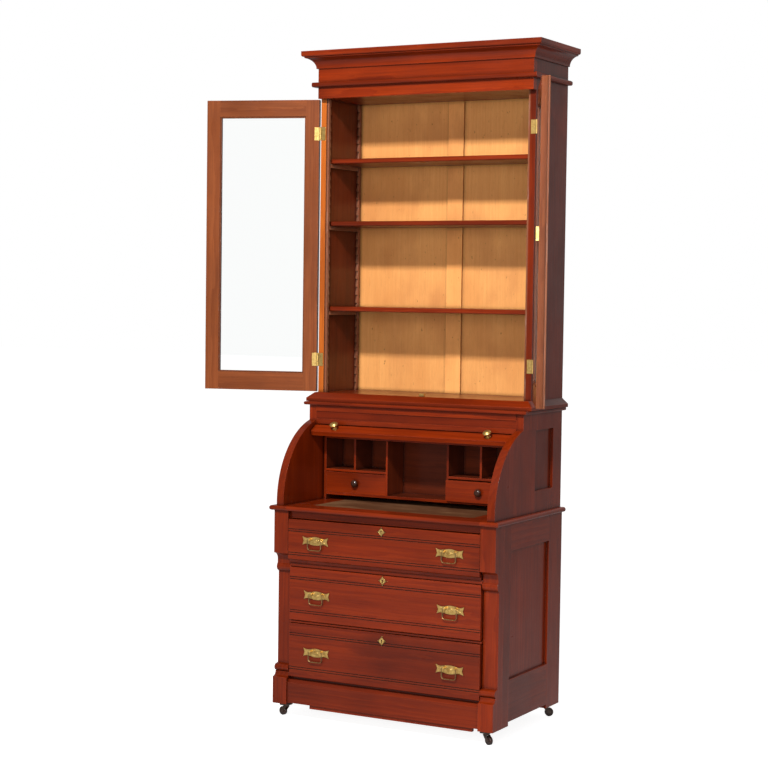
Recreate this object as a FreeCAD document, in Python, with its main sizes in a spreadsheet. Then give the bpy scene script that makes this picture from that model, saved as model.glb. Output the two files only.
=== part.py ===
import FreeCAD, Part
import Sketcher
import math
import os

# Cylinder-front secretary: a base of three long drawers on castors, a writing
# level with a pull-out slide and a round-fronted cover over pigeonholes, and a
# two-door glazed bookcase on top.
# Frame: origin on the floor under the middle of the desk, +X to the right,
# the front faces -Y, +Z up.  Lengths are millimetres, angles degrees.

doc = FreeCAD.newDocument("roll_top_secretary")
sheet = doc.addObject("Spreadsheet::Sheet", "Sizes")

SIZES = [
    # the base
    ("base_half_width", 438, "outside of the base side to the middle"),
    ("half_depth", 277, "middle of the desk to its front or back"),
    ("foot_z", 48, "underside of the feet"),
    ("base_top_z", 745, "underside of the writing level"),
    ("desk_z", 762, "writing height"),
    ("nosing", 14, "overhang of the writing level"),
    ("side_frame_t", 24, "thickness of the base side frames"),
    ("side_stile_w", 51, "front stile of the base side"),
    ("side_back_stile_w", 112, "back stile of the base side"),
    ("side_panel_low_z", 208, "bottom of the base side panel"),
    ("side_panel_high_z", 652, "top of the base side panel"),
    ("side_arch_z", 62, "underside of the base side between its feet"),
    ("panel_t", 8, "thickness of a side panel"),
    ("panel_set_in", 10, "depth of a side panel behind its frame"),
    ("post_w", 57, "width of a front post"),
    ("post_depth", 72, "depth of a front post"),
    ("shaft_set_in", 33, "post shaft behind its blocks"),
    ("block_foot_z", 591, "bottom of the upper post block"),
    ("shaft_top_z", 526, "top of the post shaft"),
    ("shaft_foot_z", 190, "bottom of the post shaft"),
    ("plinth_foot_z", 54, "underside of the plinth"),
    ("plinth_top_z", 138, "top of the plinth"),
    ("plinth_set_in", 5, "plinth face behind the post blocks"),
    ("plinth_t", 22, "thickness of the plinth"),
    ("batten_left", -290, "left end of the strip under the plinth"),
    ("batten_right", 355, "right end of the strip under the plinth"),
    ("batten_h", 14, "height of the strip under the plinth"),
    ("rail_depth", 44, "depth of the rails between the drawers"),
    ("rail_gap", 2, "gap between a rail and the drawer beside it"),
    ("runner_in", 26, "how far a runner reaches under a drawer box"),
    ("runner_t", 14, "height of a runner"),
    ("guide_h", 26, "height of a guide beside a drawer box"),
    ("back_frame_t", 14, "thickness of the frame of the back"),
    ("back_frame_w", 60, "stiles and top rail of the back"),
    ("back_low_rail_w", 70, "bottom rail of the back"),
    ("back_muntin_half", 30, "half width of the middle stile of the back"),
    # the long drawers
    ("drawer_half_width", 379, "half of a long drawer front"),
    ("drawer_front_t", 20, "thickness of a drawer front"),
    ("lower_set_in", 14, "lower drawer faces behind the top drawer"),
    ("top_drawer_low_z", 560, "top drawer, bottom edge"),
    ("top_drawer_high_z", 716, "top drawer, top edge"),
    ("middle_drawer_low_z", 352, "middle drawer, bottom edge"),
    ("middle_drawer_high_z", 543, "middle drawer, top edge"),
    ("bottom_drawer_low_z", 147, "bottom drawer, bottom edge"),
    ("bottom_drawer_high_z", 341, "bottom drawer, top edge"),
    ("drawer_side_t", 12, "thickness of drawer sides and backs"),
    ("drawer_floor_t", 6, "thickness of drawer bottoms"),
    ("drawer_box_half_width", 372, "half width of a drawer box"),
    ("drawer_back_y", 228, "back face of a drawer box"),
    ("bead_w", 3, "width of a cut line on a drawer front"),
    ("bead_cut", 2, "depth of a cut line on a drawer front"),
    ("slip", 0.5, "gap of a sliding fit in wood"),
    # drawer brasses
    ("pull_x", 266, "middle of a pull to the middle of the desk"),
    ("plate_half_width", 52, "half width of a pull plate"),
    ("plate_half_height", 15, "half height of a pull plate"),
    ("plate_t", 1.8, "thickness of a pull plate"),
    ("star_half_width", 20, "middle to side point of a keyhole plate"),
    ("star_half_height", 21, "middle to top point of a keyhole plate"),
    ("star_waist", 7, "hollow corners of a keyhole plate"),
    ("keyhole_radius", 2.8, "radius of the round part of a keyhole"),
    ("keyhole_rise", 2, "round part of a keyhole above the plate's middle"),
    ("bail_drop", 37, "bail bar below its pivots"),
    ("bail_half_width", 27, "bail legs to the middle of the pull"),
    ("bail_wire_radius", 1.7, "radius of the bail wire"),
    ("bail_bend", 9, "bend radius of the bail"),
    ("bail_top_bend", 2.8, "bend radius of the bail's turned-in ends"),
    ("bail_stand_off", 10, "bail wire in front of the drawer face"),
    ("bail_post_x", 20, "bail posts to the middle of the pull"),
    ("bail_post_radius", 4, "radius of a bail post"),
    # castors
    ("castor_x", 400, "castor pivot to the middle"),
    ("castor_y", 245, "castor pivot to the middle"),
    ("castor_plate_half", 17, "half width of a castor plate"),
    ("castor_plate_z", 39, "underside of a castor plate"),
    ("castor_stem_radius", 4, "radius of a castor stem"),
    ("castor_fit", 0.05, "radial clearance of a castor stem or axle"),
    ("castor_trail", 14, "wheel axle behind the castor pivot"),
    ("wheel_radius", 15.5, "radius of a castor wheel"),
    ("wheel_w", 12, "width of a castor wheel"),
    ("axle_radius", 2, "radius of a castor axle"),
    # the writing slide
    ("slide_half_width", 383, "half width of the writing slide"),
    ("slide_front_rail", 86, "front rail of the slide"),
    ("slide_side_rail", 66, "side rails of the slide"),
    ("slide_back_y", 150, "back edge of the slide"),
    ("baize_t", 1.6, "thickness of the baize"),
    ("baize_back_y", 100, "back edge of the baize"),
    # the upper desk
    ("upper_half_width", 431, "outside of the upper sides to the middle"),
    ("upper_side_t", 28, "thickness of the upper sides"),
    ("roll_axis_y", 20, "pivot of the round cover"),
    ("roll_axis_z", 772, "pivot of the round cover"),
    ("side_round", 294, "radius of the round front edge of a side"),
    ("upper_block_y", 54, "front of the upper blocks and frieze, before the middle"),
    ("upper_block_z", 1056, "underside of the upper blocks"),
    ("upper_panel_front_y", 50, "front edge of the upper side panel"),
    ("upper_panel_back_y", 202, "back edge of the upper side panel"),
    ("upper_panel_low_z", 838, "bottom of the upper side panel"),
    ("upper_panel_high_z", 1052, "top of the upper side panel"),
    ("deck_low_z", 1112, "underside of the deck"),
    ("deck_z", 1124, "top of the deck"),
    ("deck_overhang", 16, "overhang of the deck"),
    ("frieze_low_z", 1043, "underside of the desk frieze"),
    ("frieze_t", 18, "thickness of the desk frieze"),
    # the round cover
    ("roll_outer", 272, "outside radius of the cover"),
    ("roll_inner", 254, "inside radius of the cover at the stave joints"),
    ("roll_half_width", 401, "half width of the cover"),
    ("roll_open", 66.6, "turn of the cover from closed to open"),
    ("bar_low_angle", -1.7, "lower edge of the closed cover"),
    ("bar_high_angle", 6.7, "top of the cover's bar, closed"),
    ("stave_angle", 7.73, "angle of one stave"),
    ("bar_proud", 8, "top of the bar proud of the staves"),
    ("roll_knob_x", 308, "cover knobs to the middle"),
    ("roll_knob_head", 14, "radius of a cover knob"),
    ("roll_arm_t", 3, "thickness of a cover arm"),
    ("roll_foot_t", 4, "thickness of an arm's foot"),
    ("roll_foot_length", 16, "how far a foot reaches along the cover"),
    ("roll_foot_half_width", 15, "half the width of a foot"),
    ("roll_stud_radius", 4, "radius of the cover's pivot studs"),
    # the pigeonholes
    ("case_half_width", 393, "half width of the pigeonhole case"),
    ("case_front_y", -8, "front edge of the pigeonhole case"),
    ("case_back_y", 122, "back of the pigeonhole case"),
    ("case_top_z", 998, "top of the pigeonhole case"),
    ("case_floor_z", 790, "top of the pigeonhole floor"),
    ("case_board_t", 9, "thickness of the pigeonhole boards"),
    ("case_shelf_low_z", 868, "underside of the short shelves"),
    ("case_shelf_z", 876, "top of the short shelves"),
    ("partition_t", 7.5, "thickness of a partition"),
    ("left_thin_x", 267, "outer left partition"),
    ("left_tall_x", 134, "inner left partition"),
    ("right_tall_x", 113, "inner right partition"),
    ("right_thin_x", 244, "outer right partition"),
    ("small_drawer_high_z", 865, "top edge of a small drawer"),
    ("small_front_t", 12, "thickness of a small drawer front"),
    ("small_side_t", 6, "thickness of small drawer sides"),
    ("small_knob_radius", 13, "radius of a small drawer knob"),
    ("small_drawer_out", 22, "how far the right small drawer stands open"),
    # the bookcase
    ("case_side_t", 22, "thickness of the bookcase sides"),
    ("case_side_front_y", 5, "front edge of the bookcase sides"),
    ("face_y", -19, "face of the closed doors and the frieze"),
    ("door_low_z", 1157.5, "bottom of the doors"),
    ("door_high_z", 2229.5, "top of the doors"),
    ("case_floor_high_z", 1156, "floor of the bookcase"),
    ("base_step_z", 1136, "top of the flat edge of the bottom moulding"),
    ("base_overhang", 23, "overhang of the bottom moulding"),
    ("frieze_bottom_z", 2231, "underside of the bookcase frieze"),
    ("astragal_low_z", 2272, "underside of the cornice bead"),
    ("astragal_high_z", 2289, "top of the cornice bead"),
    ("astragal_overhang", 18, "overhang of the cornice bead"),
    ("cove_low_z", 2339, "bottom of the cove"),
    ("cove_high_z", 2380, "top of the cove"),
    ("cove_foot", 6, "overhang at the bottom of the cove"),
    ("cove_head", 38, "overhang at the top of the cove"),
    ("top_z", 2400, "height of the whole desk"),
    ("top_overhang", 47, "overhang of the top board"),
    ("back_board_y", 258, "inside face of the back panels"),
    ("back_board_t", 10, "thickness of the back panels"),
    ("back_strip_half", 31, "half width of the strip between the back panels"),
    ("shelf_half_width", 399, "half width of a shelf"),
    ("shelf_front_y", 27, "front edge of a shelf"),
    ("shelf_back_y", 249, "back edge of a shelf"),
    ("shelf_t", 17, "thickness of a shelf"),
    ("high_shelf_z", 2013, "top of the highest shelf"),
    ("middle_shelf_z", 1785, "top of the middle shelf"),
    ("low_shelf_z", 1472, "top of the lowest shelf"),
    ("ratchet_t", 8, "thickness of a notched strip"),
    ("ratchet_w", 18, "width of a notched strip"),
    ("ratchet_pitch", 30, "pitch of the notches"),
    ("ratchet_cut", 7, "depth of a notch"),
    # the doors
    ("hinge_x", 434.6, "hinge pins to the middle"),
    ("hinge_y", 4.25, "hinge pins behind the middle"),
    ("hinge_gap", 4.6, "door edge inside the hinge pin"),
    ("door_w", 429, "width of a door"),
    ("door_t", 22.5, "thickness of a door"),
    ("door_back", 0.75, "inside face of a door in front of the hinge pin"),
    ("stile_w", 50, "width of a door stile"),
    ("top_rail_w", 60, "width of a door's top rail"),
    ("bottom_rail_w", 66, "width of a door's bottom rail"),
    ("glass_t", 3, "thickness of the glass"),
    ("glass_bite", 5, "glass held under its beads"),
    ("glass_bead_t", 4, "thickness of the beads behind the glass"),
    ("left_door_open", 163, "angle of the left door"),
    ("right_door_open", 116, "angle of the right door"),
    ("high_hinge_z", 2105, "middle of the upper hinges"),
    ("low_hinge_z", 1276, "middle of the lower hinges"),
    ("lock_low_z", 1700, "underside of the right door's lock"),
    ("lock_high_z", 1746, "top of the right door's lock"),
    ("lock_w", 44, "width of the lock"),
    ("lock_t", 11, "depth of the lock"),
    ("strip_half_width", 12, "half width of the strip that covers the doors' joint"),
    ("strip_t", 6, "thickness of the covering strip"),
    ("hinge_h", 48, "height of a hinge"),
    ("leaf_t", 0.7, "thickness of a hinge leaf"),
    ("knuckle_radius", 3.3, "radius of a hinge knuckle"),
    ("pin_radius", 1.6, "radius of a hinge pin"),
    ("pin_fit", 0.05, "radial clearance of a hinge pin"),
]

for row, (alias, value, note) in enumerate(SIZES, start=1):
    sheet.set(f"A{row}", alias)
    sheet.set(f"B{row}", str(value))
    sheet.setAlias(f"B{row}", alias)
    sheet.set(f"C{row}", note)
doc.recompute()


class Size:
    """A number together with the sheet formula that it comes from."""

    def __init__(self, value, formula):
        self.value = float(value)
        self.formula = formula

    def __add__(self, other):
        other = size(other)
        return Size(self.value + other.value, f"({self.formula} + {other.formula})")

    def __sub__(self, other):
        other = size(other)
        return Size(self.value - other.value, f"({self.formula} - {other.formula})")

    def __mul__(self, other):
        other = size(other)
        return Size(self.value * other.value, f"({self.formula} * {other.formula})")

    def __truediv__(self, other):
        other = size(other)
        return Size(self.value / other.value, f"({self.formula} / {other.formula})")

    def __neg__(self):
        return Size(-self.value, f"(0 - {self.formula})")

    def __radd__(self, other):
        return size(other) + self

    def __rsub__(self, other):
        return size(other) - self

    def __rmul__(self, other):
        return size(other) * self


def size(thing):
    """Turn a sheet alias or a plain number into a Size."""
    if isinstance(thing, Size):
        return thing
    if isinstance(thing, str):
        return Size(float(sheet.get(thing)), f"Sizes.{thing}")
    return Size(thing, repr(float(thing)))


def bind(piece, prop, length):
    piece.setExpression(prop, size(length).formula)


def place(piece, x=0, y=0, z=0):
    """Put a piece's own origin at a point worked out from the sheet."""
    spot = [size(x), size(y), size(z)]
    piece.Placement.Base = FreeCAD.Vector(*[part.value for part in spot])
    for axis, part in zip("xyz", spot):
        bind(piece, f"Placement.Base.{axis}", part)


def turn(piece, axis, angle, x=0, y=0, z=0):
    """Place a piece and turn it about its own origin."""
    angle = size(angle)
    spin = FreeCAD.Rotation(FreeCAD.Vector(*axis), angle.value)
    piece.Placement = FreeCAD.Placement(FreeCAD.Vector(0, 0, 0), spin)
    place(piece, x, y, z)


# ---------------------------------------------------------------- shapes
def board(name, x0, x1, y0, y1, z0, z1):
    """A plain board that fills the box between two corners."""
    piece = doc.addObject("Part::Box", name)
    x0, x1, y0, y1, z0, z1 = [size(value) for value in (x0, x1, y0, y1, z0, z1)]
    bind(piece, "Length", x1 - x0)
    bind(piece, "Width", y1 - y0)
    bind(piece, "Height", z1 - z0)
    place(piece, x0, y0, z0)
    return piece


def pair(name, x0, x1, y0, y1, z0, z1):
    """The same board on the right and, mirrored, on the left."""
    x0, x1 = size(x0), size(x1)
    right = board(name + "_right", x0, x1, y0, y1, z0, z1)
    left = board(name + "_left", -x1, -x0, y0, y1, z0, z1)
    return [left, right]


def rounded(name, piece, radius, wanted):
    """Round the edges of a board whose middle points pass the test."""
    doc.recompute()
    chosen = []
    for number, edge in enumerate(piece.Shape.Edges, start=1):
        middle = edge.valueAt((edge.FirstParameter + edge.LastParameter) / 2)
        if wanted(middle):
            chosen.append((number, radius, radius))
    fillet = doc.addObject("Part::Fillet", name)
    fillet.Base = piece
    fillet.Edges = chosen
    return fillet


def rod(name, radius, length, axis, x, y, z):
    """A round rod that starts at a point and runs along an axis."""
    piece = doc.addObject("Part::Cylinder", name)
    bind(piece, "Radius", radius)
    bind(piece, "Height", length)
    spins = {
        "x": ((0, 1, 0), 90),
        "-x": ((0, 1, 0), -90),
        "y": ((1, 0, 0), -90),
        "-y": ((1, 0, 0), 90),
        "z": ((0, 0, 1), 0),
        "-z": ((1, 0, 0), 180),
    }
    direction, angle = spins[axis]
    turn(piece, direction, angle, x, y, z)
    return piece


def cut(name, base, tool):
    piece = doc.addObject("Part::Cut", name)
    piece.Base = base
    piece.Tool = tool
    return piece


def joined(name, pieces):
    """One solid made of several that touch."""
    piece = doc.addObject("Part::MultiFuse", name)
    piece.Shapes = pieces
    piece.Refine = True
    return piece


def group(label, pieces):
    """A node: separate solids that belong to one piece of the desk."""
    node = doc.addObject("Part::Compound", label)
    node.Label = label
    node.Links = pieces
    return node


def origin_plane(body, role):
    for feature in body.Origin.OriginFeatures:
        if feature.Role == role:
            return feature
    raise RuntimeError("no plane " + role)


def outline(sketch, points):
    """Draw a closed outline.  A point is (across, up) for a straight edge to
    the next point, or (across, up, bulge) for an arc whose middle stands off
    the straight line by bulge, to the left of the way from point to point."""
    corners = [(size(point[0]), size(point[1])) for point in points]
    bulges = [size(point[2]).value if len(point) > 2 else 0 for point in points]
    spots = [FreeCAD.Vector(a.value, b.value, 0) for a, b in corners]
    ends = []
    for index, start in enumerate(spots):
        finish = spots[(index + 1) % len(spots)]
        if bulges[index] == 0:
            sketch.addGeometry(Part.LineSegment(start, finish))
            ends.append((1, 2, None))
            continue
        along = finish - start
        bulge = bulges[index]
        left = FreeCAD.Vector(-along.y, along.x, 0).normalize()
        radius = (along.Length ** 2 / 4 + bulge ** 2) / (2 * abs(bulge))
        centre = (start + finish) * 0.5 + left * (bulge - math.copysign(radius, bulge))
        # An arc that bulges to the left is drawn backwards, anticlockwise.
        first, last = (finish, start) if bulge > 0 else (start, finish)
        angles = [math.atan2(spot.y - centre.y, spot.x - centre.x)
                  for spot in (first, last)]
        circle = Part.Circle(centre, FreeCAD.Vector(0, 0, 1), radius)
        sketch.addGeometry(Part.ArcOfCircle(circle, *angles))
        # A half circle is already fixed by its two ends.
        half_turn = abs(bulge) > 0.49 * along.Length
        ends.append((2 if bulge > 0 else 1, 1 if bulge > 0 else 2,
                     None if half_turn else radius))
    rules = []
    for index in range(len(spots)):
        following = (index + 1) % len(spots)
        rules.append(Sketcher.Constraint("Coincident", index, ends[index][1],
                                         following, ends[following][0]))
    sketch.addConstraint(rules)
    for index, (a, b) in enumerate(corners):
        start = ends[index][0]
        for kind, part in (("DistanceX", a), ("DistanceY", b)):
            number = sketch.addConstraint(
                Sketcher.Constraint(kind, -1, 1, index, start, part.value))
            sketch.setExpression(f"Constraints[{number}]", part.formula)
        if ends[index][2] is not None:
            sketch.addConstraint(Sketcher.Constraint("Radius", index, ends[index][2]))


def new_sketch(body, name, plane, points, hole=None):
    """A sketch on one of the body's own planes, with an optional round hole."""
    sketch = body.newObject("Sketcher::SketchObject", name)
    sketch.AttachmentSupport = (origin_plane(body, plane), [""])
    sketch.MapMode = "FlatFace"
    outline(sketch, points)
    if hole:
        across, up, radius = hole
        circle = Part.Circle(FreeCAD.Vector(size(across).value, size(up).value, 0),
                             FreeCAD.Vector(0, 0, 1), size(radius).value)
        number = sketch.addGeometry(circle)
        rule = sketch.addConstraint(
            Sketcher.Constraint("Radius", number, size(radius).value))
        sketch.setExpression(f"Constraints[{rule}]", size(radius).formula)
        for kind, part in (("DistanceX", size(across)), ("DistanceY", size(up))):
            rule = sketch.addConstraint(
                Sketcher.Constraint(kind, -1, 1, number, 3, part.value))
            sketch.setExpression(f"Constraints[{rule}]", part.formula)
    return sketch


def moulding(name, points, plane, start, length, hole=None):
    """A body of one cross section, padded from start along its plane's normal:
    X for YZ_Plane, Z for XY_Plane; for XZ_Plane the pad runs towards -Y."""
    body = doc.addObject("PartDesign::Body", name)
    sketch = new_sketch(body, name + "_section", plane, points, hole)
    pad = body.newObject("PartDesign::Pad", name + "_pad")
    pad.Profile = sketch
    bind(pad, "Length", length)
    body.Tip = pad
    sketch.Visibility = False
    start = size(start)
    if plane == "YZ_Plane":
        place(body, x=start)
    elif plane == "XY_Plane":
        place(body, z=start)
    else:
        place(body, y=start)
    return body


def turned(name, points):
    """A lathe-turned piece: half section (radius, height) about the Z axis."""
    body = doc.addObject("PartDesign::Body", name)
    sketch = new_sketch(body, name + "_half", "XZ_Plane", points)
    spin = body.newObject("PartDesign::Revolution", name + "_turned")
    spin.Profile = sketch
    spin.ReferenceAxis = (sketch, ["V_Axis"])
    spin.Angle = 360
    body.Tip = spin
    return body


# A turned knob ends in a small flat, where it came off the lathe.
knob_crown = 2.5
nodes = []


def keep(label, pieces):
    """Make a node and put it on the list of nodes to write out."""
    node = group(label, pieces)
    nodes.append(node)
    return node


base_half = size("base_half_width")
front_y = -size("half_depth")
back_y = size("half_depth")
foot_z = size("foot_z")
base_top = size("base_top_z")
desk_z = size("desk_z")
slip = size("slip")
# A long drawer's box starts this far above the bottom edge of its front.
box_lift = 8


# ---------------------------------------------------------------- base
def base_sides():
    """Frame-and-panel ends with feet and a low arch between them."""
    post_back = front_y + "post_depth"
    panel_front = post_back + "side_stile_w"
    panel_back = back_y - "side_back_stile_w"
    inside = base_half - "side_frame_t"
    panel_out = base_half - "panel_set_in"
    panel_in = panel_out - "panel_t"
    parts = [
        ("front_stile", inside, base_half, post_back, panel_front, foot_z, base_top),
        ("back_stile", inside, base_half, panel_back, back_y, foot_z, base_top),
        ("bottom_rail", inside, base_half, panel_front, panel_back,
         "side_arch_z", "side_panel_low_z"),
        ("top_rail", inside, base_half, panel_front, panel_back,
         "side_panel_high_z", base_top),
        ("panel", panel_in, panel_out, panel_front, panel_back,
         "side_panel_low_z", "side_panel_high_z"),
    ]
    lefts, rights = [], []
    for name, x0, x1, y0, y1, z0, z1 in parts:
        left, right = pair("base_side_" + name, x0, x1, y0, y1, z0, z1)
        lefts.append(left)
        rights.append(right)
    keep("base_side_left", lefts)
    keep("base_side_right", rights)


def post_section():
    """Section of a front post seen from the side: a block, a cove and bead,
    the shaft, the base bead, a hollow and the foot block."""
    back = front_y + "post_depth"
    shaft = front_y + "shaft_set_in"
    block_foot = size("block_foot_z")
    shaft_top = size("shaft_top_z")
    shaft_foot = size("shaft_foot_z")
    cove = 25
    bead_top = shaft_top + 26
    base_bead = 24
    hollow = 18
    return [
        (back, foot_z),
        (back, base_top - 0.2),
        (front_y, base_top - 0.2),
        (front_y, block_foot, cove * (1 - math.sqrt(0.5))),
        (front_y + cove, block_foot - cove),
        (front_y + cove, bead_top, -6),
        (front_y + cove, shaft_top),
        (shaft, shaft_top - 4),
        (shaft, shaft_foot),
        (front_y + 22, shaft_foot - 2, -base_bead / 2),
        (front_y + 22, shaft_foot - 2 - base_bead),
        (front_y + hollow, shaft_foot - 4 - base_bead, hollow * (1 - math.sqrt(0.5))),
        (front_y, shaft_foot - 4 - base_bead - hollow),
        (front_y, foot_z),
    ]


def base_posts():
    width = size("post_w")
    left = moulding("base_post_left", post_section(), "YZ_Plane", -base_half, width)
    right = moulding("base_post_right", post_section(), "YZ_Plane",
                     base_half - width, width)
    keep("base_posts", [left, right])


def base_rails():
    """The plinth, the rails between the drawers, and the drawer runners."""
    half = base_half - "post_w"
    plinth_face = front_y + "plinth_set_in"
    back = plinth_face + "plinth_t"
    depth, gap = size("rail_depth"), size("rail_gap")
    low, high = size("plinth_foot_z"), size("plinth_top_z")
    plinth = moulding("plinth", [
        (back, low), (back, high), (plinth_face + 10, high),
        (plinth_face, high - 10), (plinth_face, low)],
        "YZ_Plane", -half + 0.2, (half - 0.2) * 2)
    pieces = [plinth]
    pieces.append(board("plinth_batten", "batten_left", "batten_right",
                        front_y + 12, front_y + 26, low - "batten_h", low))
    pieces.append(board("rail_over_plinth", -half, half, back, back + depth, high - 20,
                        size("bottom_drawer_low_z") - gap * 0.75))
    lower_face = front_y + "lower_set_in"
    pieces.append(board("rail_under_slide", -half, half, lower_face,
                        lower_face + 40, size("top_drawer_high_z") + gap * 1.5,
                        base_top - slip))
    for name, below, above in (
            ("top", "middle_drawer_high_z", "top_drawer_low_z"),
            ("middle", "bottom_drawer_high_z", "middle_drawer_low_z")):
        rail_front = lower_face + 6
        pieces.append(board(f"rail_under_{name}_drawer", -half, half, rail_front,
                            rail_front + depth, size(below) + gap, size(above) - gap))
    inside = base_half - "side_frame_t"
    box = size("drawer_box_half_width")
    run_front = front_y + "post_depth"
    run_back = back_y - "back_frame_t"
    run_in = box - "runner_in"
    for name in ("top", "middle", "bottom"):
        ledge = size(f"{name}_drawer_low_z") + box_lift - slip
        pieces += pair(f"runner_{name}", run_in, inside, run_front, run_back,
                       ledge - "runner_t", ledge)
        pieces += pair(f"guide_{name}", box + slip, inside, run_front, run_back,
                       ledge, ledge + "guide_h")
    pieces += pair("slide_ledge", run_in, inside, run_front, run_back,
                   base_top - 22, base_top - slip)
    pieces += pair("back_corner_block", inside - 33, inside, run_back - 48, run_back,
                   foot_z, "side_arch_z")
    keep("base_rails", pieces)


def base_back():
    """Frame and two panels across the back of the base."""
    inside = base_half - "side_frame_t"
    frame_front = back_y - "back_frame_t"
    low, high = size("side_arch_z"), base_top
    panel_in, panel_out = back_y - 10, back_y - 4
    stile_in = inside - "back_frame_w"
    panel_low, panel_high = low + "back_low_rail_w", high - "back_frame_w"
    muntin = size("back_muntin_half")
    pieces = pair("back_stile", stile_in, inside, frame_front, back_y, low, high)
    pieces.append(board("back_top_rail", -stile_in, stile_in, frame_front, back_y,
                        panel_high, high))
    pieces.append(board("back_bottom_rail", -stile_in, stile_in, frame_front, back_y,
                        low, panel_low))
    pieces.append(board("back_muntin", -muntin, muntin, frame_front, back_y, panel_low,
                        panel_high))
    pieces += pair("back_panel", muntin, stile_in, panel_in, panel_out, panel_low,
                   panel_high)
    keep("base_back", pieces)


# ---------------------------------------------------------------- castors
CORNERS = [
    # name, side, front or back, heading of the wheel from the pivot
    ("front_left", -1, -1, 168),
    ("front_right", 1, -1, -25),
    ("back_left", -1, 1, 150),
    ("back_right", 1, 1, 35),
]


def castors():
    """Iron castors: a plate under each foot, a swivelling fork and a wheel."""
    plates = []
    stem = size("castor_stem_radius")
    plate_low = size("castor_plate_z")
    half = size("castor_plate_half")
    radius = size("wheel_radius")
    width = size("wheel_w")
    axle = size("axle_radius")
    crown_top = plate_low - 2
    crown_low = crown_top - 4
    cheek_t = 2.5
    trail = size("castor_trail")
    cheek_in = width / 2 + 0.5
    for name, side, end, heading in CORNERS:
        x = size("castor_x") * side
        y = size("castor_y") * end
        block = board(f"castor_block_{name}", x - half, x + half, y - half, y + half,
                      plate_low, foot_z)
        bore = rod(f"castor_bore_{name}", stem + "castor_fit", 7, "z", x, y,
                   plate_low - 1)
        plates.append(cut(f"castor_plate_{name}", block, bore))

        crown = rod(f"crown_{name}", 11, crown_top - crown_low, "z", 0, 0, crown_low)
        pin = rod(f"stem_{name}", stem, plate_low + 5 - crown_top, "z", 0, 0, crown_top)
        cheeks = []
        for mark, low_y in (("near", cheek_in), ("far", -cheek_in - cheek_t)):
            cheek = moulding(f"cheek_{name}_{mark}", [
                (-9, crown_low + 0.5), (trail - 6, radius - 3, -1.5),
                (trail + 5, radius - 3, -3), (trail + 5, radius + 5),
                (10, crown_low + 0.5)],
                "XZ_Plane", low_y + cheek_t, cheek_t)
            cheeks.append(cheek)
        pivot = rod(f"axle_{name}", axle, (cheek_in + cheek_t) * 2, "y", trail,
                    -cheek_in - cheek_t, radius)
        fork = joined(f"fork_{name}", [crown, pin, pivot] + cheeks)
        node = keep(f"castor_fork_{name}", [fork])
        turn(node, (0, 0, 1), heading, x, y, 0)

        disc = rod(f"wheel_disc_{name}", radius, width, "y", trail, -width / 2, radius)
        bore = rod(f"wheel_bore_{name}", axle + "castor_fit", width + 4, "y", trail,
                   -width / 2 - 2, radius)
        wheel = cut(f"wheel_bored_{name}", disc, bore)
        doc.recompute()
        rim = doc.addObject("Part::Chamfer", f"wheel_{name}")
        rim.Base = wheel
        rim.Edges = [(number, 1.5, 1.5)
                     for number, edge in enumerate(wheel.Shape.Edges, start=1)
                     if isinstance(edge.Curve, Part.Circle)
                     and edge.Curve.Radius > radius.value / 2]
        node = keep(f"castor_wheel_{name}", [rim])
        turn(node, (0, 0, 1), heading, x, y, 0)
    keep("castor_plates", plates)


# ---------------------------------------------------------------- writing level
def writing_level():
    """The fixed ends and back of the writing level, and the slide in it."""
    half = size("slide_half_width")
    edge_x = base_half + "nosing"
    edge_y = front_y - "nosing"
    round_over = (desk_z.value - base_top.value) * 0.45
    tops = []
    for board_piece, sign in zip(
            pair("writing_end", half + slip, edge_x, edge_y, back_y, base_top, desk_z),
            (-1, 1)):
        def outer(middle, sign=sign):
            on_side = abs(middle.x - sign * edge_x.value) < 0.01
            on_front = abs(middle.y - edge_y.value) < 0.01
            return on_side != on_front and abs(middle.y - back_y.value) > 0.01 \
                and abs(middle.z - (desk_z.value + base_top.value) / 2) > 1
        tops.append(rounded(board_piece.Name + "_nosed", board_piece, round_over, outer))
    tops.append(board("writing_back", -half - slip, half + slip,
                      size("slide_back_y") + 4, back_y, base_top, desk_z))
    keep("desk_top", tops)

    rail_back = edge_y + "slide_front_rail"
    field = half - "slide_side_rail"
    nose = board("slide_nose", -half, half, edge_y, rail_back, base_top, desk_z)
    nose = rounded("slide_front_rail_nosed", nose, round_over,
                   lambda middle: abs(middle.y - edge_y.value) < 0.01
                   and abs(middle.x) < 1)
    slides = [nose]
    slides += pair("slide_side", field, half, rail_back, "slide_back_y", base_top,
                   desk_z)
    slides.append(board("slide_back", -field, field, "baize_back_y", "slide_back_y",
                        base_top, desk_z))
    slides.append(board("slide_field", -field, field, rail_back, "baize_back_y",
                        base_top, desk_z - "baize_t"))
    keep("slide_board", slides)
    keep("slide_baize", [board("baize", -field, field, rail_back, "baize_back_y",
                               desk_z - "baize_t", desk_z)])


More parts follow.
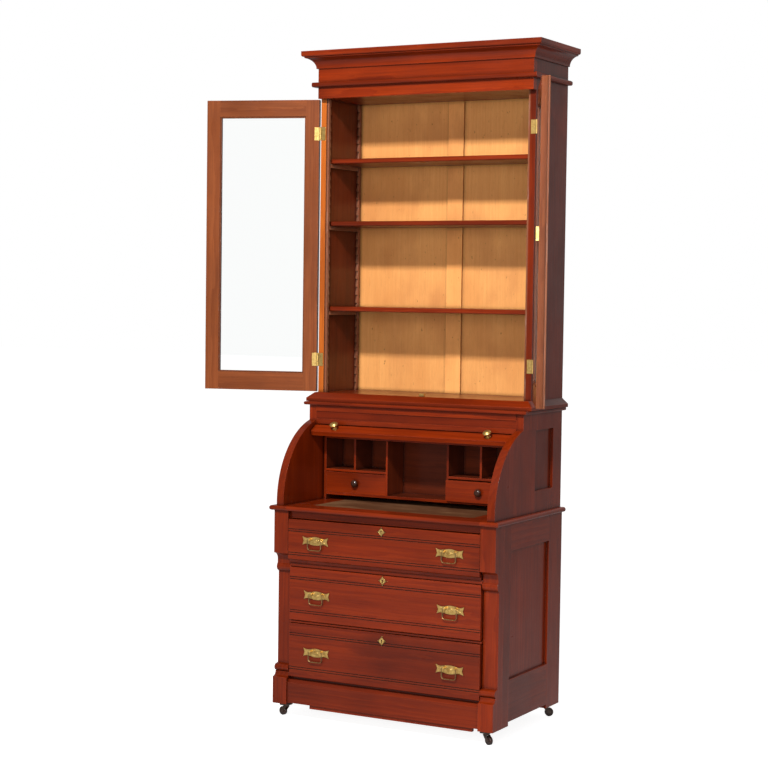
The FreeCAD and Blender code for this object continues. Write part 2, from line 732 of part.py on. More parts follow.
# ---------------------------------------------------------------- upper desk
def upper_sides():
    """The round-fronted sides: a curved front board, and a framed panel."""
    outer = size("upper_half_width")
    inner = outer - "upper_side_t"
    pivot_y, pivot_z = size("roll_axis_y"), size("roll_axis_z")
    panel_front, panel_back = size("upper_panel_front_y"), size("upper_panel_back_y")
    panel_low, panel_high = size("upper_panel_low_z"), size("upper_panel_high_z")
    block_z, deck = size("upper_block_z"), size("deck_low_z")
    panel_out = outer - "panel_set_in"
    for side, sign in (("left", -1), ("right", 1)):
        def slab(name, x0, x1, y0, y1, z0, z1):
            near, far = (x0, x1) if sign > 0 else (-x1, -x0)
            return board(f"upper_{side}_{name}", near, far, y0, y1, z0, z1)
        blank = slab("blank", inner, outer, -size("half_depth"), panel_front, desk_z,
                     block_z)
        start_x = inner - 5 if sign > 0 else -outer - 5
        disc = rod(f"upper_{side}_disc", "side_round", size("upper_side_t") + 10, "x",
                   start_x, pivot_y, pivot_z)
        curved = doc.addObject("Part::Common", f"upper_{side}_curved")
        curved.Base = blank
        curved.Tool = disc
        keep(f"upper_side_{side}", [
            curved,
            slab("block", inner, outer, -size("upper_block_y"), panel_front, block_z,
                 deck),
            slab("top_rail", inner, outer, panel_front, panel_back, panel_high, deck),
            slab("bottom_rail", inner, outer, panel_front, panel_back, desk_z,
                 panel_low),
            slab("back_stile", inner, outer, panel_back, back_y, desk_z, deck),
            slab("panel", panel_out - "panel_t", panel_out, panel_front, panel_back,
                 panel_low, panel_high),
        ])


def upper_desk():
    """The frieze over the opening, the deck on top, and the back panel."""
    outer = size("upper_half_width")
    inner = outer - "upper_side_t"
    face = -size("upper_block_y")
    back = face + "frieze_t"
    low, high = size("frieze_low_z"), size("deck_low_z")
    keep("upper_frieze", [
        board("frieze_board", -inner, inner, face, back, low + 18, high - 22),
        board("frieze_low_bead", -inner, inner, face - 2, back, low, low + 18),
        board("frieze_high_bead", -inner, inner, face - 3, back, high - 22, high),
    ])
    reach = size("deck_overhang")
    deck = board("deck_board", -outer - reach, outer + reach, face - reach, back_y,
                 high, "deck_z")
    middle_z = (high.value + size("deck_z").value) / 2

    def nosed(middle):
        return abs(middle.z - middle_z) > 1 and abs(middle.y - back_y.value) > 0.01
    keep("deck", [rounded("deck_nosed", deck, 4.5, nosed)])
    keep("upper_back", [board("upper_back_panel", -inner, inner, back_y - 10,
                              back_y - 2, desk_z, high)])


def roll():
    """The round cover: ten staves and a bottom bar, swung on two iron arms.
    It is drawn closed about its pivot, then turned back to stand open."""
    r_out, r_in = size("roll_outer"), size("roll_inner")
    half = size("roll_half_width")
    step = size("stave_angle")
    first = size("bar_high_angle")
    count = 10

    def polar(radius, angle):
        """Sheet point at a radius, angle up from straight ahead (-Y)."""
        angle, radius = size(angle), size(radius)
        turn_by = math.radians(angle.value)
        forward = Size(-radius.value * math.cos(turn_by),
                       f"(0 - {radius.formula} * cos({angle.formula} * 1deg))")
        up = Size(radius.value * math.sin(turn_by),
                  f"({radius.formula} * sin({angle.formula} * 1deg))")
        return forward, up

    def rise(radius, angle):
        """How far an arc stands off its chord."""
        return radius.value * (1 - math.cos(math.radians(angle.value) / 2))

    staves = []
    for index in range(count):
        low = first + step * index
        high = first + step * (index + 1)
        low_out, high_out = polar(r_out, low), polar(r_out, high)
        high_in, low_in = polar(r_in, high), polar(r_in, low)
        stave = moulding(f"stave_{index + 1}", [
            (low_out[0], low_out[1], rise(r_out, step)),
            high_out, high_in, low_in], "YZ_Plane", -half, half * 2)
        staves.append(stave)
    shell = keep("roll_shell", staves)

    bar_low, bar_high = size("bar_low_angle"), size("bar_high_angle")
    bar = moulding("bar_body", [
        polar(r_out, bar_low), polar(r_out + "bar_proud", bar_high),
        polar(r_in, bar_high), polar(r_in, bar_low)], "YZ_Plane", -half, half * 2)
    bar_node = keep("roll_bar", [bar])

    # The knobs stand square on the sloping face of the bar.
    foot_y, foot_up = polar(r_out, bar_low)
    head_y, head_up = polar(r_out + "bar_proud", bar_high)
    lean = math.degrees(math.atan2(foot_y.value - head_y.value,
                                   head_up.value - foot_up.value))
    knobs = []
    for name, sign in (("left", -1), ("right", 1)):
        head = size("roll_knob_head")
        knob = turned(f"roll_knob_{name}", [
            (0, 0), (9, 0), (9, 2), (5, 5, 1), (5.5, 12), (head, 16, -2.5),
            (head - 2, 23, -1), (knob_crown, 27), (0, 27)])
        turn(knob, (1, 0, 0), 90 + lean, size("roll_knob_x") * sign,
             (foot_y + head_y) / 2, (foot_up + head_up) / 2)
        knobs.append(knob)
    knob_node = keep("roll_knobs", knobs)

    # Each arm ends in a foot screwed flat to the inside of the sixth stave.
    arms = []
    seat = Size(r_in.value * math.cos(math.radians(step.value) / 2),
                f"({r_in.formula} * cos({step.formula} * 0.5deg))")
    foot_t, foot_out = size("roll_foot_t"), size("roll_foot_length")
    foot_half = size("roll_foot_half_width")
    arm_in = size("upper_half_width") - "upper_side_t" - 7
    for name, start in (("left", -arm_in), ("right", arm_in - "roll_arm_t")):
        eye = rod(f"arm_eye_{name}", 9, "roll_arm_t", "x", start, 0, 0)
        blade = moulding(f"arm_blade_{name}", [
            (-7, 4), (7, 4), (12, seat - foot_t), (-12, seat - foot_t)],
            "YZ_Plane", start, "roll_arm_t")
        place(blade, start, 0, 0)
        foot_x = (start, start + foot_out) if name == "left" \
            else (arm_in - foot_out, arm_in)
        foot = board(f"arm_foot_{name}", *foot_x, -foot_half, foot_half,
                     seat - foot_t, seat)
        whole = joined(f"arm_whole_{name}", [eye, blade, foot])
        hole = rod(f"arm_hole_{name}", size("roll_stud_radius") + 0.05, 30, "x",
                   start - 10, 0, 0)
        arm = cut(f"arm_{name}", whole, hole)
        arms.append(arm)
    arm_node = keep("roll_arms", arms)
    middle = (first + step * (count / 2 + 0.5)).value
    for arm in arms:
        arm.Placement = FreeCAD.Placement(
            FreeCAD.Vector(0, 0, 0),
            FreeCAD.Rotation(FreeCAD.Vector(1, 0, 0), 90 - middle))
    for node in (shell, bar_node, knob_node, arm_node):
        turn(node, (1, 0, 0), -size("roll_open"), 0, "roll_axis_y", "roll_axis_z")


# ---------------------------------------------------------------- pigeonholes
def pigeonholes():
    """Partitions, two short shelves and two small drawers behind the cover."""
    half = size("case_half_width")
    board_t = size("case_board_t")
    front, back = size("case_front_y"), size("case_back_y")
    floor, top = size("case_floor_z"), size("case_top_z")
    thin = size("partition_t")
    inside = half - board_t
    left_tall, right_tall = -size("left_tall_x"), size("right_tall_x")
    shelf_low, shelf = size("case_shelf_low_z"), size("case_shelf_z")
    back_in = back - 6
    pieces = pair("case_side", inside, half, front, back, desk_z, top - board_t)
    pieces.append(board("case_top", -half, half, front, back, top - board_t, top))
    pieces.append(board("case_floor", -inside, inside, front, back, floor - board_t,
                        floor))
    pieces.append(board("case_back_panel", -inside, inside, back_in, back, floor,
                        top - board_t))
    for name, x0, low in (("left_tall", left_tall, floor),
                          ("right_tall", right_tall, floor),
                          ("left_thin", -size("left_thin_x"), shelf),
                          ("right_thin", size("right_thin_x"), shelf)):
        pieces.append(board("partition_" + name, x0, x0 + thin, front, back_in, low,
                            top - board_t))
    pieces.append(board("case_shelf_left", -inside, left_tall, front, back_in,
                        shelf_low, shelf))
    pieces.append(board("case_shelf_right", right_tall + thin, inside, front, back_in,
                        shelf_low, shelf))
    keep("pigeonhole_case", pieces)

    front_t, side_t = size("small_front_t"), size("small_side_t")
    high = size("small_drawer_high_z")
    gap = 0.6
    for name, x0, x1, out in (
            ("left", -inside + gap, left_tall - gap, size(0)),
            ("right", right_tall + thin + gap, inside - gap, size("small_drawer_out"))):
        y0 = front - out
        y1 = back_in - 3 - out
        low = floor + gap
        boards = [
            board(f"small_{name}_front", x0, x1, y0, y0 + front_t, low, high),
            board(f"small_{name}_side_a", x0, x0 + side_t, y0 + front_t, y1, low,
                  high - 8),
            board(f"small_{name}_side_b", x1 - side_t, x1, y0 + front_t, y1, low,
                  high - 8),
            board(f"small_{name}_back", x0 + side_t, x1 - side_t, y1 - side_t, y1, low,
                  high - 8),
            board(f"small_{name}_floor", x0 + side_t, x1 - side_t, y0 + front_t,
                  y1 - side_t, low + 2, low + 6),
        ]
        keep(f"small_drawer_{name}", boards)
        radius = size("small_knob_radius")
        knob = turned(f"small_knob_{name}_turned", [
            (0, 0), (6, 0), (5, 6, 1), (radius - 1, 9, -2), (radius - 3, 17, -1),
            (knob_crown, 19), (0, 19)])
        turn(knob, (1, 0, 0), 90, (x0 + x1) / 2, y0, (low + high) / 2)
        keep(f"small_knob_{name}", [knob])


# ---------------------------------------------------------------- long drawers
def drawer_face(low, high, face, coved):
    """Section of a long drawer's front, with two pairs of cut lines and, on
    the top drawer, a hollow under the bottom edge."""
    inside = face + "drawer_front_t"
    line_w, line_cut = size("bead_w"), size("bead_cut")
    hollow = 14
    points = [(inside, low), (inside, high), (face, high)]
    for drop in (33, 41):
        points.append((face, high - drop))
        points.append((face + line_cut, high - drop - line_w / 2))
        points.append((face, high - drop - line_w))
    for climb in (39, 31):
        points.append((face, low + climb))
        points.append((face + line_cut, low + climb - line_w / 2))
        points.append((face, low + climb - line_w))
    if coved:
        points.append((face, low + hollow, hollow * (1 - math.sqrt(0.5))))
        points.append((face + hollow, low))
    else:
        points.append((face, low + 3))
        points.append((face + 3, low))
    return points


def pull_plate(name, x, y, z):
    """A shaped brass plate with fish-tail ends and a domed middle, and the
    two round posts that carry its bail."""
    w, v = size("plate_half_width"), size("plate_half_height")
    points = [
        (w, -v), (w - 5, 0), (w, v, 2.5), (27, v - 4, 0), (20, v - 3, -3),
        (-20, v - 3, 0), (-27, v - 4, 2.5), (-w, v), (-w + 5, 0), (-w, -v, 2.5),
        (-27, -v + 4, 0), (-20, -v + 3, -3), (20, -v + 3, 0), (27, -v + 4, 2.5)]
    plate = moulding(f"{name}_plate", points, "XZ_Plane", 0, "plate_t")
    place(plate, x, y, z)
    post = size("bail_post_radius")
    reach = size("bail_stand_off") + 3.5 - "plate_t"
    posts = []
    for mark, sign in (("left", -1), ("right", 1)):
        stub = rod(f"{name}_stub_{mark}", post, reach, "-y", x + size("bail_post_x")
                   * sign, y - "plate_t", z + 5)
        hole = rod(f"{name}_hole_{mark}", size("bail_wire_radius") + 0.05, 20, "x",
                   x + size("bail_post_x") * sign - 10, y - "bail_stand_off", z + 5)
        posts.append(cut(f"{name}_post_{mark}", stub, hole))
    return joined(f"{name}_pull", [plate] + posts)


def escutcheon(name, y, z):
    """A four-pointed brass plate round a keyhole."""
    w, v = size("star_half_width"), size("star_half_height")
    waist = size("star_waist")
    points = [(w, 0, 2.5), (waist, waist, 2.5), (0, v, 2.5), (-waist, waist, 2.5),
              (-w, 0, 2.5), (-waist, -waist, 2.5), (0, -v, 2.5),
              (waist, -waist, 2.5)]
    plate = moulding(f"{name}_star", points, "XZ_Plane", 0, "plate_t",
                     hole=(0, "keyhole_rise", "keyhole_radius"))
    slot = body_pocket(plate, name)
    place(plate, 0, y, z)
    return slot


def body_pocket(body, name):
    """Cut the keyhole's slot below its round hole."""
    sketch = new_sketch(body, name + "_slot_outline", "XZ_Plane", [
        (-1.1, 1), (1.1, 1), (1.8, -7), (-1.8, -7)])
    slot = body.newObject("PartDesign::Pocket", name + "_slot")
    slot.Profile = sketch
    slot.Type = "ThroughAll"
    slot.Midplane = True
    body.Tip = slot
    return body


def bail(name, x, y, z):
    """A thin swinging handle: a bent wire whose ends turn in to the posts."""
    leg = size("bail_half_width").value
    drop = size("bail_drop").value
    bend = size("bail_bend").value
    small = size("bail_top_bend").value
    inner = size("bail_post_x").value - size("bail_post_radius").value + 0.5
    k = math.sqrt(0.5)

    def at(across, up):
        return FreeCAD.Vector(across, 0, up)

    edges = [
        Part.LineSegment(at(-inner, 0), at(-leg + small, 0)),
        Part.Arc(at(-leg + small, 0), at(-leg + small - small * k, -small + small * k),
                 at(-leg, -small)),
        Part.LineSegment(at(-leg, -small), at(-leg, -drop + bend)),
        Part.Arc(at(-leg, -drop + bend), at(-leg + bend - bend * k,
                 -drop + bend - bend * k), at(-leg + bend, -drop)),
        Part.LineSegment(at(-leg + bend, -drop), at(leg - bend, -drop)),
        Part.Arc(at(leg - bend, -drop), at(leg - bend + bend * k,
                 -drop + bend - bend * k), at(leg, -drop + bend)),
        Part.LineSegment(at(leg, -drop + bend), at(leg, -small)),
        Part.Arc(at(leg, -small), at(leg - small + small * k, -small + small * k),
                 at(leg - small, 0)),
        Part.LineSegment(at(leg - small, 0), at(inner, 0)),
    ]
    path = doc.addObject("Part::Feature", name + "_path")
    path.Shape = Part.Wire([edge.toShape() for edge in edges])
    ring = doc.addObject("Part::Circle", name + "_ring")
    bind(ring, "Radius", "bail_wire_radius")
    ring.Placement = FreeCAD.Placement(at(-inner, 0),
                                       FreeCAD.Rotation(FreeCAD.Vector(0, 1, 0), 90))
    wire = doc.addObject("Part::Sweep", name + "_wire")
    wire.Sections = [ring]
    wire.Spine = (path, ["Edge%d" % (index + 1) for index in range(len(edges))])
    wire.Solid = True
    wire.Frenet = False
    wire.Transition = "Right corner"
    node = keep(name, [wire])
    place(node, x, y - "bail_stand_off", z + 5)


def long_drawers():
    box = size("drawer_box_half_width")
    side_t, floor_t = size("drawer_side_t"), size("drawer_floor_t")
    back = size("drawer_back_y")
    half = size("drawer_half_width")
    lower = size("lower_set_in")
    for name, set_in, pull_z, key_z in (("top", size(0), 644, 697),
                                        ("middle", lower, 448, 525),
                                        ("bottom", lower, 243, 314)):
        low = size(f"{name}_drawer_low_z")
        high = size(f"{name}_drawer_high_z")
        face = front_y + set_in
        front = moulding(f"drawer_{name}_face",
                         drawer_face(low, high, face, name == "top"),
                         "YZ_Plane", -half, half * 2)
        keep(f"drawer_{name}_front", [front])
        inside = face + "drawer_front_t"
        box_low, box_high = low + box_lift, high - 12
        keep(f"drawer_{name}_box", pair(f"drawer_{name}_side", box - side_t, box,
                                        inside, back, box_low, box_high) + [
            board(f"drawer_{name}_back", -box + side_t, box - side_t, back - side_t,
                  back, box_low, box_high),
            board(f"drawer_{name}_floor", -box + side_t, box - side_t, inside,
                  back - side_t, box_low + 6, box_low + 6 + floor_t),
        ])
        pull_x = size("pull_x")
        brasses = [escutcheon(f"escutcheon_{name}", face, key_z)]
        for mark, sign in (("left", -1), ("right", 1)):
            brasses.append(pull_plate(f"pull_{name}_{mark}", pull_x * sign, face,
                                      size(pull_z)))
            bail(f"bail_{name}_{mark}", pull_x * sign, face, size(pull_z))
        keep(f"drawer_{name}_brass", brasses)


# ---------------------------------------------------------------- bookcase
def bookcase():
    outer = size("upper_half_width")
    inner = outer - "case_side_t"
    front = size("case_side_front_y")
    floor = size("case_floor_high_z")
    ceiling = size("frieze_bottom_z")
    top = size("cove_high_z")
    board_y = size("back_board_y")
    keep("bookcase_sides", pair("bookcase_side", inner, outer, front, back_y, floor,
                                top))

    # The bottom moulding is the edge of the board that the case stands on.
    step = size("base_step_z")
    reach = size("base_overhang")
    face = size("face_y")
    sill = board("bookcase_sill", -outer - reach, outer + reach, face - reach, back_y,
                 "deck_z", step)
    slope = doc.addObject("Part::Wedge", "bookcase_base_slope")
    for prop, value in (("Xmin", -outer - reach), ("Xmax", outer + reach),
                        ("X2min", -outer), ("X2max", outer),
                        ("Zmin", -back_y), ("Zmax", reach - face),
                        ("Z2min", -back_y), ("Z2max", -face),
                        ("Ymin", 0), ("Ymax", floor - step)):
        bind(slope, prop, value)
    turn(slope, (1, 0, 0), 90, 0, 0, step)
    keep("bookcase_base", [sill, slope])

    # A wide panel on each side of a thicker strip down the middle.
    strip = size("back_strip_half")
    backs = pair("back_panel_wide", strip + 0.4, inner - 0.4, board_y,
                 board_y + "back_board_t", floor, top)
    backs.append(board("back_centre", -strip, strip, board_y - 8,
                       board_y + "back_board_t", floor, top))
    keep("bookcase_back", backs)

    shelves = []
    for name in ("high", "middle", "low"):
        level = size(f"{name}_shelf_z")
        half = size("shelf_half_width")
        shelf_front = size("shelf_front_y")
        plank = board(f"shelf_{name}_plank", -half, half, shelf_front, "shelf_back_y",
                      level - "shelf_t", level)

        def front_edge(middle):
            return abs(middle.y - shelf_front.value) < 0.01 and abs(middle.x) < 1
        shelves.append(rounded(f"shelf_{name}_eased", plank, 5, front_edge))
    keep("shelves", shelves)

    # Notched strips in the corners carry a loose cleat under each shelf end.
    supports = []
    pitch, depth = size("ratchet_pitch"), size("ratchet_cut")
    strip_w, strip_t = size("ratchet_w"), size("ratchet_t")
    low_z, high_z = floor.value, ceiling.value
    teeth = int((high_z - low_z) // pitch.value)
    for place_name, y0, sign in (("front", front + 4, 1),
                                 ("back", board_y - 9 - strip_w, -1)):
        # The saw teeth of the front and back strips face each other.
        root, edge = (y0, y0 + strip_w) if sign > 0 else (y0 + strip_w, y0)
        points = [(root, high_z), (root, low_z)]
        for index in range(teeth):
            z = low_z + index * pitch.value
            points.append((edge, z))
            points.append((edge - depth * sign, z + pitch.value))
        points.append((edge, low_z + teeth * pitch.value))
        points.append((edge, high_z))
        for side, x in (("left", -inner), ("right", inner - strip_t)):
            flat = Part.makePolygon(
                [FreeCAD.Vector(0, size(a).value, size(b).value) for a, b in points]
                + [FreeCAD.Vector(0, size(points[0][0]).value, high_z)])
            notched = doc.addObject("Part::Feature", f"ratchet_{place_name}_{side}")
            notched.Shape = Part.Face(flat).extrude(
                FreeCAD.Vector(strip_t.value, 0, 0))
            place(notched, x=x)
            supports.append(notched)
    for name in ("high", "middle", "low"):
        under = size(f"{name}_shelf_z") - "shelf_t"
        supports += pair(f"cleat_{name}", inner - strip_t, inner,
                         front + 4 + strip_w, board_y - 9 - strip_w, under - 14, under)
    keep("shelf_supports", supports)


def cornice():
    """Frieze, bead, cove and top board over the bookcase."""
    outer = size("upper_half_width")
    inner = outer - "case_side_t"
    face = size("face_y")
    front = size("case_side_front_y")
    ceiling = size("frieze_bottom_z")
    bead_low, bead_high = size("astragal_low_z"), size("astragal_high_z")
    cove_low, cove_high = size("cove_low_z"), size("cove_high_z")
    reach = size("astragal_overhang")
    board_y = size("back_board_y")
    pieces = [
        board("case_ceiling", -inner, inner, front, board_y - 8, ceiling, ceiling + 18),
        board("frieze_lower", -outer, outer, face, front, ceiling, bead_low),
        board("frieze_upper", -outer, outer, face, front, bead_high, cove_high),
    ]
    bead_t = bead_high - bead_low
    rim = []
    rim.append(rounded("bead_front", board("bead_front_blank", -outer - reach,
                       outer + reach, face - reach, front, bead_low, bead_high),
                       bead_t.value * 0.42,
                       lambda middle: abs(middle.y - (face - reach).value) < 0.01
                       and abs(middle.x) < 1))
    for blank in pair("bead_side", outer, outer + reach, front, back_y, bead_low,
                      bead_high):
        sign = 1 if blank.Name.endswith("right") else -1

        def outside(middle, sign=sign):
            edge = sign * (outer + reach).value
            return abs(middle.x - edge) < 0.01 and abs(middle.y) < 250 \
                and abs(middle.z - (bead_low + bead_high).value / 2) > 1
        rim.append(rounded(blank.Name + "_round", blank, bead_t.value * 0.42, outside))
    pieces += rim

    foot, head = size("cove_foot"), size("cove_head")
    hollow = (head - foot).value
    scoop = [(0, cove_low), (foot, cove_low), (foot, cove_low + 5, hollow * 0.24),
             (head, cove_high - 4), (head, cove_high), (0, cove_high)]

    def shifted(across, sign):
        return [tuple([across + size(point[0]) * sign, point[1]]
                      + [bulge * sign for bulge in point[2:]]) for point in scoop]

    def mitred(name, blank, corners):
        """Cut the ends of a cove strip at forty-five degrees."""
        piece = blank
        for mark, x, y, spin in corners:
            wedge = doc.addObject("Part::Box", f"{name}_mitre_{mark}")
            for prop in ("Length", "Width", "Height"):
                bind(wedge, prop, 120)
            turn(wedge, (0, 0, 1), spin, x, y, cove_low - 20)
            piece = cut(f"{name}_cut_{mark}", piece, wedge)
        return piece

    total = outer + head
    front_strip = moulding("cove_front", shifted(face, -1), "YZ_Plane", -total,
                           total * 2)
    pieces.append(mitred("cove_front", front_strip, [
        ("left", -outer, face, 135), ("right", outer, face, -45)]))
    for name, sign in (("left", -1), ("right", 1)):
        strip = moulding(f"cove_{name}", shifted(outer * sign, sign), "XZ_Plane",
                         back_y, back_y - face + head)
        pieces.append(mitred(f"cove_{name}", strip,
                             [("front", outer * sign, face, 225)]))
    over = size("top_overhang")
    slab = board("top_board", -outer - over, outer + over, face - over, back_y,
                 cove_high, "top_z")

    def lower_edge(middle):
        return abs(middle.z - cove_high.value) < 0.01 \
            and abs(middle.y - back_y.value) > 0.01
    pieces.append(rounded("top_board_eased", slab, 7, lower_edge))
    keep("cornice", pieces)


# ---------------------------------------------------------------- doors
def leaf_with_knuckles(name, sign, leaf, spans, z_mid, bored):
    """A hinge leaf with its share of the knuckles, about the pin's axis.
    sign is +1 where the leaf runs towards +X from the pin."""
    height = size("hinge_h")
    radius = size("knuckle_radius")
    low = size(z_mid) - height / 2
    x0, x1 = (2.6, 22) if sign > 0 else (-22, -2.6)
    y0, y1 = leaf
    plate = board(f"{name}_plate", x0, x1, y0, y1, low, low + height)
    shapes = [plate]
    for index, (start, end) in enumerate(spans):
        knuckle = rod(f"{name}_knuckle_{index}", radius, height * (end - start), "z",
                      0, 0, low + height * start)
        shapes.append(knuckle)
    whole = joined(f"{name}_leaf", shapes)
    if not bored:
        return whole
    hole = rod(f"{name}_bore", size("pin_radius") + "pin_fit", height + 4, "z", 0, 0,
               low - 2)
    return cut(f"{name}_bored", whole, hole)


def case_leaf(name, side, z_mid):
    """The fixed leaf, its outer knuckles and the pin, as one solid."""
    gap = 0.3
    height = size("hinge_h")
    third = 1.0 / 3
    free = gap / height.value
    leaf = leaf_with_knuckles(f"{name}_case", -side, (0.05, 0.05 + size("leaf_t")),
                              [(0, third - free), (2 * third + free, 1)], z_mid, False)
    pin = rod(f"{name}_pin", "pin_radius", height, "z", 0, 0, size(z_mid) - height / 2)
    # The leaf also crosses the door's knuckle, so it is relieved there.
    relief = rod(f"{name}_relief", size("knuckle_radius") + 0.4,
                 height * (third + 2 * free), "z", 0, 0,
                 size(z_mid) - height * (third / 2 + free))
    relieved = cut(f"{name}_relieved", leaf, relief)
    whole = joined(f"{name}_case_whole", [relieved, pin])
    place(whole, size("hinge_x") * side, "hinge_y", 0)
    return whole


def door_leaf(name, side, z_mid):
    """The moving leaf and its middle knuckle, bored for the pin."""
    third = 1.0 / 3
    leaf = leaf_with_knuckles(f"{name}_door", -side,
                              (-0.05 - size("leaf_t"), -0.05), [(third, 2 * third)],
                              z_mid, True)
    height = size("hinge_h")
    low = size(z_mid) - height / 2
    clear = size("knuckle_radius") + 0.4
    piece = leaf
    for mark, start, end in (("low", -0.02, third - 0.001), ("high", 2 * third + 0.001,
                                                            1.02)):
        relief = rod(f"{name}_door_relief_{mark}", clear, height * (end - start), "z",
                     0, 0, low + height * start)
        piece = cut(f"{name}_door_cut_{mark}", piece, relief)
    return piece


def doors():
    """Two glazed doors, drawn shut about their hinge pins and then swung."""
    gap = size("hinge_gap")
    width = size("door_w")
    back = -size("door_back")
    face = back - "door_t"
    low, high = size("door_low_z"), size("door_high_z")
    stile = size("stile_w")
    glass_low = low + "bottom_rail_w"
    glass_high = high - "top_rail_w"
    hardware = []
    for side_name, side in (("left", -1), ("right", 1)):
        def across(x0, x1):
            """Distances from the pin towards the middle, as X."""
            x0, x1 = size(x0), size(x1)
            return (x0, x1) if side < 0 else (-x1, -x0)

        def piece(name, x0, x1, y0, y1, z0, z1):
            a, b = across(x0, x1)
            return board(f"door_{side_name}_{name}", a, b, y0, y1, z0, z1)

        free = gap + width
        bead = size("glass_bite")
        rabbet = back - 7
        pieces = [
            piece("hinge_stile", gap, gap + stile, face, back, low, high),
            piece("free_stile", free - stile, free, face, back, low, high),
            piece("top_rail", gap + stile, free - stile, face, back, glass_high, high),
            piece("bottom_rail", gap + stile, free - stile, face, back, low,
                  glass_low),
        ]
        inner0, inner1 = gap + stile, free - stile
        bead_face = rabbet - "glass_t"
        for mark, y0, y1 in (("inner", rabbet, rabbet + "glass_bead_t"),
                             ("outer", face + 4, bead_face)):
            pieces += [
                piece(f"{mark}_bead_a", inner0, inner0 + bead, y0, y1, glass_low,
                      glass_high),
                piece(f"{mark}_bead_b", inner1 - bead, inner1, y0, y1, glass_low,
                      glass_high),
                piece(f"{mark}_bead_c", inner0 + bead, inner1 - bead, y0, y1,
                      glass_high - bead, glass_high),
                piece(f"{mark}_bead_d", inner0 + bead, inner1 - bead, y0, y1,
                      glass_low, glass_low + bead),
            ]
        door_nodes = [keep(f"door_{side_name}_frame", pieces)]
        door_nodes.append(keep(f"door_{side_name}_glass", [
            piece("pane", inner0 + 0.2, inner1 - 0.2, bead_face, rabbet,
                  glass_low + 0.2, glass_high - 0.2)]))
        leaves = []
        for mark, z_mid in (("high", "high_hinge_z"), ("low", "low_hinge_z")):
            leaves.append(door_leaf(f"hinge_{side_name}_{mark}", side, z_mid))
            hardware.append(case_leaf(f"hinge_{side_name}_{mark}", side, z_mid))
        if side > 0:
            lock_end = free - 2
            lock_back = back + "lock_t"
            lock = piece("lock_box", lock_end - "lock_w", lock_end, back, lock_back,
                         "lock_low_z", "lock_high_z")
            leaves.append(rounded(
                "lock_eased", lock, 2,
                lambda middle: abs(middle.y - lock_back.value) < 0.01))
            half_strip = size("strip_half_width")
            strip_back = face - 0.2
            strip_face = strip_back - "strip_t"
            strip = piece("strip_blank", free - half_strip, free + half_strip,
                          strip_face, strip_back, low, high)
            middle_z = (low + high).value / 2
            strip_node = keep("door_right_strip", [
                rounded("strip_rounded", strip, 2.5,
                        lambda middle: abs(middle.y - strip_face.value) < 0.01
                        and abs(middle.z - middle_z) < 1)])
            door_nodes.append(strip_node)
        door_nodes.append(keep(f"door_{side_name}_brass", leaves))
        angle = size(f"{side_name}_door_open") * side
        for node in door_nodes:
            turn(node, (0, 0, 1), angle, size("hinge_x") * side, "hinge_y", 0)

    # The cover's pivot studs and the keeper for the doors' bolt.
    stud_x = size("upper_half_width") - "upper_side_t"
    stud = 9
    for name, start in (("left", -stud_x), ("right", stud_x - stud)):
        hardware.append(rod(f"stud_{name}", "roll_stud_radius", stud, "x", start,
                            "roll_axis_y", "roll_axis_z"))
    hardware.append(board("keeper", -9, 9, size("case_side_front_y") + 1,
                          size("case_side_front_y") + 13, "case_floor_high_z",
                          size("case_floor_high_z") + 9))
    keep("case_hardware", hardware)


base_sides()
base_posts()
base_rails()
base_back()
castors()
writing_level()
upper_sides()
upper_desk()
roll()
pigeonholes()
long_drawers()
bookcase()
cornice()
doors()
doc.recompute()

# ---------------------------------------------------------------- writing out
faults = []
for item in doc.Objects:
    if "Invalid" in item.State or "Error" in item.State:
        faults.append(f"{item.Name}: {item.State}")
for node in nodes:
    if node.Shape.isNull() or not node.Shape.isValid():
        faults.append(f"{node.Label}: bad shape")
if faults:
    raise RuntimeError("\n".join(faults))
os.makedirs("parts", exist_ok=True)
for node in nodes:
    node.Shape.exportStep(f"parts/{node.Label}.step")
whole = Part.makeCompound([node.Shape for node in nodes]).BoundBox
print(f"{len(nodes)} nodes, box X {whole.XMin:.1f} {whole.XMax:.1f} "
      f"Y {whole.YMin:.1f} {whole.YMax:.1f} Z {whole.ZMin:.1f} {whole.ZMax:.1f}")
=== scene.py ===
# %% [markdown]
# # A roll top secretary desk, finished in Blender
# The desk comes in as a set of exact boards, brasses and castors, each already
# in its place.  What is left for us is what a polisher and a brass founder do:
# the grain, the polish, the tarnish, and the small fittings that are too fine
# for the joiner's drawings.  Everything is in metres; +Z is up and the drawers
# face -Y.

import math
import random

import bpy
import numpy as np
from mathutils import Matrix, Vector


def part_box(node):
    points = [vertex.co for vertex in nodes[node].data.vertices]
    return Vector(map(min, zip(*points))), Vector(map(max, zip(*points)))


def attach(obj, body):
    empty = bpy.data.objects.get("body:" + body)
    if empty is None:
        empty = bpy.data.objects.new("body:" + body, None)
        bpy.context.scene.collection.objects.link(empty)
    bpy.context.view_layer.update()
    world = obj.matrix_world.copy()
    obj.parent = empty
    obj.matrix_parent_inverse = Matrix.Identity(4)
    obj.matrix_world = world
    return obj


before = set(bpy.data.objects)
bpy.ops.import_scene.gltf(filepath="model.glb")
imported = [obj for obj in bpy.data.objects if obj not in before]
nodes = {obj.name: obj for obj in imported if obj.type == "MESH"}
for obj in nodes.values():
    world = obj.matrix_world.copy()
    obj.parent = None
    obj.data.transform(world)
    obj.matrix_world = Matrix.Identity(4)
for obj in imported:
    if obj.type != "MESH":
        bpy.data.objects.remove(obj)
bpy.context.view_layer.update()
mm = 0.001

# %% [markdown]
# ## The view
# A tall piece of furniture is pictured from well back with a long lens, so its
# uprights stay upright.  We give the camera a place, a heading, a small dip and
# a hair of roll, and build its turning from three axes at right angles.

